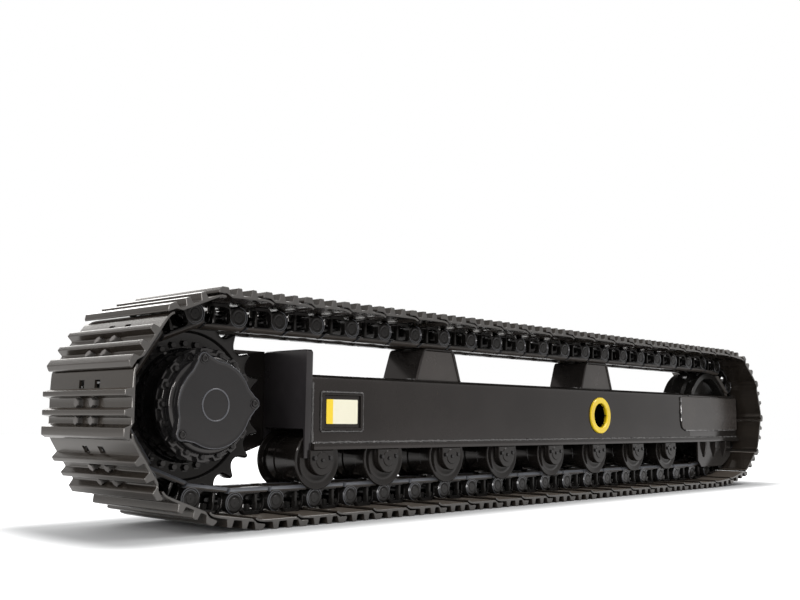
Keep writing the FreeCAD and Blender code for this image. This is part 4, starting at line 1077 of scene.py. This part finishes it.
def light_world(scene):
    """Even pale surroundings; the camera, gloss and glass see them as white."""
    scene.world = bpy.data.worlds.new("surroundings")
    scene.world.use_nodes = True
    shelf = Shelf(scene.world.node_tree)
    pale = shelf.node("ShaderNodeBackground", {}, (0.95, 0.97, 1), 0.52)
    white = shelf.node("ShaderNodeBackground", {}, (1, 1, 1), 1)
    mixed = shelf.node("ShaderNodeMixShader", {}, shelf.seen_white(), pale, white)
    shelf.fill(shelf.tree.nodes["World Output"].inputs["Surface"], mixed)


def make_lamp(name, place, target, size, power):
    """Area lamp turned to its target, its lower edge level."""
    light = bpy.data.lights.new(name, "AREA")
    light.shape = "RECTANGLE"
    light.size, light.size_y = size
    light.energy = power
    back = np.subtract(place, target)
    back /= np.linalg.norm(back)
    side = np.cross(UP, back)
    side /= np.linalg.norm(side)
    aimed(name, light, side, np.cross(back, side), back, place)


def make_camera(scene):
    """Camera at the photograph's place: turned to the side, up a little, and rolled slightly."""
    turn, rise, roll = 0.763044313, 0.120450474, 0.00886332978
    focus, pixels = 987.604, 800
    level = cos(rise)
    ahead = np.array([level * cos(turn), level * sin(turn), sin(rise)])
    side = np.array([sin(turn), -cos(turn), 0])
    up = np.cross(side, ahead)
    right = cos(roll) * side + sin(roll) * up
    above = -sin(roll) * side + cos(roll) * up
    data = bpy.data.cameras.new("camera")
    data.sensor_width = 36
    data.lens = focus * data.sensor_width / pixels
    data.clip_end = 100
    scene.camera = aimed("camera", data, right, above, -ahead, (DRIVE_X - 2.0265, -3.01213, 0.38348))


class TRACK_OT_stage(Operator):
    """Floor, backdrop light, lamps and camera"""
    bl_idname = "track.stage"
    bl_label = "Stage"

    def execute(self, context):
        scene = context.scene
        scene.view_settings.view_transform = "Standard"
        make_floor()
        light_world(scene)
        key, fill = scene.track_studio.key_power, scene.track_studio.fill_power
        make_lamp("key", (-6.9, -2.75, 2), (-1.6, 0, 0.4), (2, 3.6), key)
        make_lamp("top", (2.4, -0.3, 5.4), (0.8, 0, 0.3), (11, 2.6), fill * 5)
        make_lamp("back", (1.6, 6.4, 4), (0, 0, 0.4), (8, 3), fill * 3)
        make_lamp("front", (-4.6, -5.4, 3.4), (-0.4, 0, 0.4), (0.7, 0.7), fill * 0.5)
        make_camera(scene)
        return {"FINISHED"}


class TRACK_PT_panel(Panel):
    """Lists the steps that build the track unit"""
    bl_idname = "TRACK_PT_panel"
    bl_label = "Track unit"
    bl_space_type = "VIEW_3D"
    bl_region_type = "UI"
    bl_category = "Track unit"

    def draw(self, context):
        for step in STEPS:
            self.layout.operator(step.bl_idname)
        for group, kind in GROUPS.items():
            for name in kind.__annotations__:
                self.layout.prop(getattr(context.scene, group), name)


GROUPS = {"track_chain": ChainSizes, "track_drive": DriveSizes, "track_frame": FrameSizes,
          "track_finishes": Finishes, "track_studio": Studio}
STEPS = (TRACK_OT_finishes, TRACK_OT_shoes, TRACK_OT_links, TRACK_OT_sprocket, TRACK_OT_final_drive,
         TRACK_OT_wheels, TRACK_OT_collars, TRACK_OT_side_frame, TRACK_OT_fittings, TRACK_OT_welds,
         TRACK_OT_inner_side, TRACK_OT_stage)
CLASSES = (*GROUPS.values(), *STEPS, TRACK_PT_panel)


def register():
    for kind in CLASSES:
        bpy.utils.register_class(kind)
    for name, kind in GROUPS.items():
        setattr(bpy.types.Scene, name, PointerProperty(type=kind))


def unregister():
    for name in GROUPS:
        delattr(bpy.types.Scene, name)
    for kind in CLASSES[::-1]:
        bpy.utils.unregister_class(kind)


def main():
    register()
    for step in STEPS:
        group, name = step.bl_idname.split(".")
        getattr(getattr(bpy.ops, group), name)()


if __name__ == "__main__":
    main()
